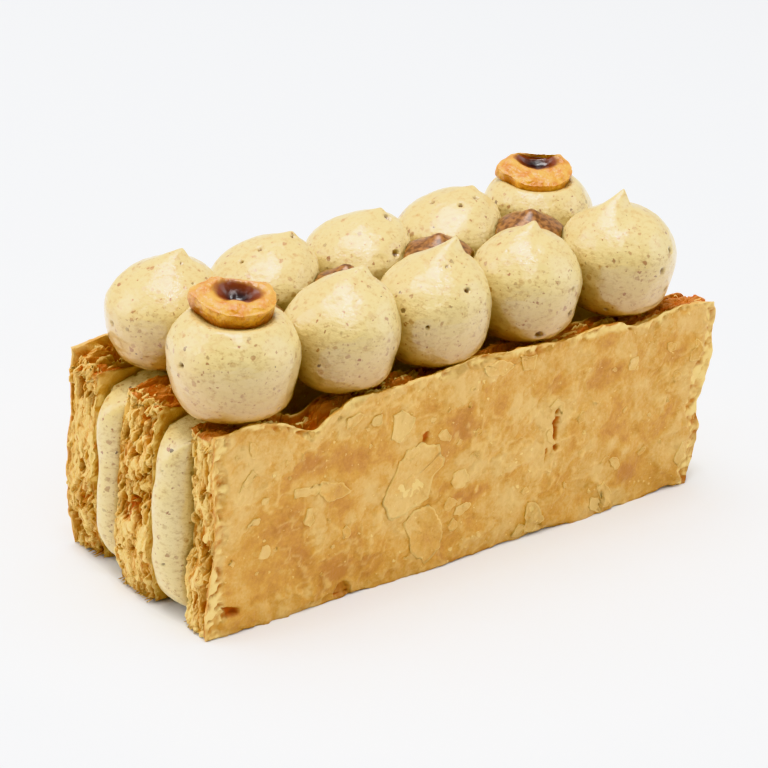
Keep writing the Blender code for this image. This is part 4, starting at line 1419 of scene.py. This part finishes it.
# %% The tree of bubble pits
def make_pit_tree():
    tree, given, result = make_tree("Bubble pits", {
        "Spacing": ("Float", 0.0036), "Size": ("Float", 0.0009), "Depth": ("Float", 0.0008),
        "Share": ("Float", 0.4), "Seed": ("Float", 0.0), "Material": ("Material", None),
    })
    where = add(tree, "GeometryNodeInputPosition").outputs[0]
    normal = add(tree, "GeometryNodeInputNormal").outputs[0]
    scale = calc(tree, "DIVIDE", 1.0, given["Spacing"])
    moved = combine(tree, "ADD", where, given["Seed"])
    cells = add(tree, "ShaderNodeTexVoronoi", {"Vector": moved, "Scale": scale})
    red, green, _ = add(tree, "ShaderNodeSeparateXYZ", {0: cells.outputs["Color"]}).outputs
    distance = calc(tree, "MULTIPLY", cells.outputs["Distance"], given["Spacing"])
    radius = calc(tree, "MULTIPLY", red, given["Size"])
    share = calc(tree, "DIVIDE", distance, radius)
    hollow = add(tree, "ShaderNodeMapRange", {"Value": share, "From Min": 1.0, "From Max": 0.55},
                 interpolation_type="SMOOTHSTEP")
    kept = calc(tree, "LESS_THAN", green, given["Share"])
    pit = calc(tree, "MULTIPLY", hollow.outputs[0], kept)
    depth = calc(tree, "MULTIPLY", pit, given["Depth"])
    inward = calc(tree, "MULTIPLY", depth, -1.0)
    offset = add(tree, "ShaderNodeVectorMath", {0: normal, "Scale": inward}, operation="SCALE")
    # The pit's share is kept for the painted shade inside it.
    marked = add(tree, "GeometryNodeStoreNamedAttribute",
                 {"Geometry": given["Geometry"], "Name": "pit", "Value": pit})
    pitted = add(tree, "GeometryNodeSetPosition",
                 {"Geometry": marked.outputs[0], "Offset": offset.outputs[0]})
    real = add(tree, "GeometryNodeRealizeInstances", {0: pitted.outputs[0]})
    finish = add(tree, "GeometryNodeSetMaterial",
                 {"Geometry": real.outputs[0], "Material": given["Material"]})
    tree.links.new(finish.outputs[0], result)
    return tree


PIT_TREE = make_pit_tree()
print(PIT_TREE.name, "has", len(PIT_TREE.nodes), "nodes")


# %% Ten kisses
def build_kiss(name, row, row_y, index, seed):
    kiss = row[index]
    middle = kiss_middle(kiss)
    left, right = kiss_walls(row, index)
    lean = KISS_LEAN * kiss.reach
    dome_at_tip = middle + kiss.dome * math.sqrt(kiss.radius**2 - (kiss.reach - lean) ** 2)
    sizes = {
        "Radius": kiss.radius, "Reach": kiss.reach, "Rise": kiss.tip - dome_at_tip, "Lean": lean,
        "Left wall": left - kiss.x, "Right wall": right - kiss.x, "Foot": SEAT_HEIGHT - middle,
    }
    for nut in NUTS:
        if nut.kiss is kiss:
            sizes.update({"Dent": nut.seat - middle, "Dent X": nut.x - kiss.x, "Dent Y": nut.y - row_y})
    sizes = {label: size * MILLIMETRE for label, size in sizes.items()}
    place = (np.array((kiss.x, row_y, middle)) + SHIFT) * MILLIMETRE
    piece = build_mesh(name, np.zeros((0, 3)), np.zeros((0, 3), int), CREAM)
    shares = {"Dome": kiss.dome, "Flare": KISS_FLARE}
    run_tree(piece, KISS_TREE,
             {**sizes, **shares, "Seed": seed, "Place": place.tolist(), "Material": CREAM})
    run_tree(piece, PIT_TREE, {"Seed": seed, "Material": CREAM})
    return piece


KISSES = {}
for prefix, row, row_y in (("kiss_front", FRONT_ROW, FRONT_ROW_Y), ("kiss_back", BACK_ROW, BACK_ROW_Y)):
    for index in range(len(row)):
        name = f"{prefix}_{index + 1}"
        KISSES[name] = build_kiss(name, row, row_y, index, 3.0 * len(KISSES))
        print(name, "has", len(KISSES[name].data.polygons), "faces")

# %% [markdown]
# ## Layers of cream
# The same cream fills the two gaps between the slabs. It was piped in ridges, which leaves a gentle scallop
# along its foot and its top. It swells past the slabs at both ends and lies lower between them.

# %% Cream layers
CREAM_BASE = 3.2
CREAM_TOP = 37.8
CREAM_SAG = 9.0
CREAM_HALF_LENGTH = 55.6
CREAM_BULGE = 5.2
CREAM_LAYERS = (("cream_front", -13.3, -5.6, 5), ("cream_back", 6.0, 12.8, 6))
SCALLOP = 0.9
END_DROP = 1.5
SCALLOP_PITCH = 22.0


def build_cream_layer(name, front, back, seed):
    # Close steps at both ends, where the cream shows, and wide ones between the slabs.
    turn = np.linspace(-1.0, 1.0, 141)
    u_steps = 0.5 + 0.5 * np.sin(turn * math.pi / 2.0)
    points, faces = lattice_surface(u_steps, np.linspace(0.0, 1.0, 25), np.linspace(0.0, 1.0, 101))
    u, v, w = points.T
    across = np.sqrt(np.maximum(0.0, 1.0 - 0.96 * (2.0 * v - 1.0) ** 2))
    upright = (1.0 - np.abs(2.0 * w - 1.0) ** np.where(w > 0.5, 5, 4)) ** 0.5
    spots = np.column_stack([u * 120.0, v * 7.0, w * 36.0])
    lumps = smooth_noise(spots, 7.0, seed, 2)
    half = CREAM_HALF_LENGTH + (CREAM_BULGE + 0.5 * lumps) * across * upright
    x = mix(-half, half, u)
    wave = SCALLOP * np.cos(2.0 * math.pi * x / SCALLOP_PITCH)
    z = np.minimum(mix(CREAM_BASE + wave, CREAM_TOP - SCALLOP + wave * w, w), CREAM_TOP)
    z -= END_DROP * smooth_step(np.abs(x), CREAM_HALF_LENGTH - 4.0, CREAM_HALF_LENGTH + 4.0) * w
    z -= CREAM_SAG * smooth_step(np.abs(x), CREAM_HALF_LENGTH - 8.0, CREAM_HALF_LENGTH - 14.0) * w
    y = mix(front, back, v)
    piece = build_mesh(name, np.column_stack([x, y, z]), faces, CREAM)
    run_tree(piece, PIT_TREE, {"Seed": float(seed), "Material": CREAM})
    print(name, "has", len(piece.data.polygons), "faces")
    return piece


LAYERS = {layer[0]: build_cream_layer(*layer) for layer in CREAM_LAYERS}

# %% [markdown]
# ## Drops of praline
# A drop was piped into each hollow between four kisses: it spreads until it meets them, and ends in a small
# curled tip.

# %% Praline drops
DROP_RADIUS = 7.2
DROP_DOME = 3.8
DROP_FOOT_SPREAD = 1.7
DROP_TIP_HEIGHT = 1.4
DROP_TIP_WIDTH = 0.3
DROP_TOPS = (52.2, 53.0, 55.0, 55.4)
DROP_SHIFT = -0.7
DROP_CLEARANCE = 0.5
DROP_Y = -0.5


def round_directions(count):
    """Directions all over a ball, from a block with count by count cells a side, and its faces."""
    points, faces = lattice_surface(*[np.linspace(0.0, 1.0, count + 1)] * 3)
    centred = np.tan((2.0 * points - 1.0) * math.pi / 4.0)
    return centred / np.linalg.norm(centred, axis=1, keepdims=True), faces


def kiss_section(kiss, height):
    """The radius of the kiss's outline at each height."""
    rise = height - kiss_middle(kiss)
    share = rise / (kiss.radius * np.where(rise > 0.0, kiss.dome, 1.0))
    flare = 1.0 + KISS_FLARE * np.maximum(0.0, -share) ** 3
    return kiss.radius * flare * np.sqrt(np.maximum(0.0, 1.0 - share**2))


def free_reach(start_x, start_y, heading, height):
    """How far a drop can spread from its axis in each heading before it comes up to a kiss."""
    reach = np.full(len(height), np.inf)
    for row, row_y in ((FRONT_ROW, FRONT_ROW_Y), (BACK_ROW, BACK_ROW_Y)):
        for kiss in row:
            radius = kiss_section(kiss, height)
            across = np.array((kiss.x - start_x, row_y - start_y))
            along = heading @ across
            inside = (radius + DROP_CLEARANCE) ** 2 - (across @ across - along**2)
            hit = (radius > 0.0) & (inside > 0.0) & (along > 0.0)
            reach = np.where(hit, np.minimum(reach, along - np.sqrt(np.maximum(inside, 0.0))), reach)
    return reach


def build_drop(name, x, top, seed):
    directions, faces = round_directions(40)
    waist = top - DROP_DOME
    spread = np.hypot(directions[:, 0], directions[:, 1])
    lumps = 1.0 + 0.07 * smooth_noise(directions, 0.7, seed, 2)
    tip = DROP_TIP_HEIGHT * np.exp(-((spread / DROP_TIP_WIDTH) ** 2))
    upper = directions[:, 2] > 0.0
    z = waist + np.where(upper, DROP_DOME * lumps * directions[:, 2] + tip,
                         (waist - SEAT_HEIGHT) * directions[:, 2])
    radius = DROP_RADIUS * np.where(upper, spread, np.minimum(1.0, DROP_FOOT_SPREAD * spread))
    heading = directions[:, :2] / np.maximum(spread, 1e-9)[:, None]
    radius = np.minimum(radius, free_reach(x, DROP_Y, heading, z))
    points = np.column_stack([x + radius * heading[:, 0], DROP_Y + radius * heading[:, 1], z])
    return build_mesh(name, points, faces, PRALINE)


DROPS = {}
for index, top in enumerate(DROP_TOPS):
    corners = FRONT_ROW[index : index + 2] + BACK_ROW[index : index + 2]
    x = DROP_SHIFT + sum(kiss.x for kiss in corners) / len(corners)
    name = f"praline_{index + 1}"
    DROPS[name] = build_drop(name, x, top, index)
    print(name, "is at x =", round(x, 1), "mm")

# %% [markdown]
# ## Hazelnut halves
# Each half is a shallow cup, cut side up: a rounded rim drawn to a point at one end and broken off straight
# along one side, and a hollow where the two halves of the kernel meet.

# %% Hazelnut halves
NUT_LENGTH = 13.2
NUT_WIDTH = 11.4
NUT_DEPTH = 7.2
NUT_POINT = 0.26
NUT_BREAK = 4.1
NUT_HOLLOW_LENGTH = 5.4
NUT_HOLLOW_WIDTH = 3.5
NUT_HOLLOW_DEPTH = 2.0
DENT_CURVE = 0.03


def build_nut(nut, seed):
    directions, faces = round_directions(60)
    angle = np.arctan2(directions[:, 1], directions[:, 0])
    point = 1.0 + NUT_POINT * np.exp(-(((np.abs(angle) - math.pi) / 0.35) ** 2))
    edge_x = NUT_LENGTH / 2.0 * point * np.cos(angle)
    edge_y = np.minimum(NUT_WIDTH / 2.0 * np.sin(angle), NUT_BREAK)
    spread = np.hypot(directions[:, 0], directions[:, 1])
    is_face = directions[:, 2] > 0.0
    # The side drops steeply from the rim and turns in late, like a cup's.
    inner = np.where(is_face, spread, spread**0.45)
    local = np.column_stack(
        [edge_x * inner, edge_y * inner, -NUT_DEPTH * np.maximum(0.0, -directions[:, 2])])
    # The hollow is a shallow bowl. It starts softly and its border is uneven.
    ragged = 0.06 * smooth_noise(local, 2.6, seed + 1, 2)
    from_middle = np.hypot(local[:, 0] / NUT_HOLLOW_LENGTH, (local[:, 1] - nut.hollow) / NUT_HOLLOW_WIDTH)
    hollow = np.where(is_face, np.clip(1.0 - from_middle + ragged, 0.0, 1.0), 0.0)
    rounding = np.where(is_face, 0.6 * smooth_step(spread, 0.8, 1.0), 0.6)
    local[:, 2] -= NUT_HOLLOW_DEPTH * smooth_step(hollow, 0.0, 0.9) + rounding
    lumps = 0.3 * smooth_noise(local, 2.6, seed, 1) + 0.14 * smooth_noise(local, 1.1, seed + 5, 2)
    local += directions * lumps[:, None]
    turn = Matrix.Rotation(math.radians(nut.turn), 3, "Z")
    tilt = Matrix.Rotation(math.radians(nut.tilt), 3, "X") @ Matrix.Rotation(math.radians(nut.roll), 3, "Y")
    points = local @ np.array(turn @ tilt).T + np.array((nut.x, nut.y, nut.height))
    dent = nut.seat + DENT_CURVE * ((points[:, 0] - nut.x) ** 2 + (points[:, 1] - nut.y) ** 2)
    points[:, 2] = np.maximum(points[:, 2], dent - 0.2)
    values = {"hollow": hollow, "under": smooth_step(-directions[:, 2], 0.05, 0.5)}
    piece = build_mesh(nut.name, points, faces, NUT_COAT, values)
    print(nut.name, "has", len(faces), "faces")
    return piece


SHELLS = {nut.name: build_nut(nut, 3 * index + 2) for index, nut in enumerate(NUTS)}

# %% [markdown]
# ## Bodies and nodes
# The slice is one body. Each piece stands for its CAD solid, which stays for collision and is hidden.

# %% Rides
def hand_over(piece, node):
    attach(piece, "root")
    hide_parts(node)


for slot, groups in (
    ("puff_pastry", (BODIES, LEAVES, FLAKES)),
    ("hazelnut_cream", (KISSES, LAYERS)),
    ("praline", (DROPS,)),
    ("roasted_hazelnut", (SHELLS,)),
):
    for pieces in groups:
        for node, piece in pieces.items():
            hand_over(piece, node)
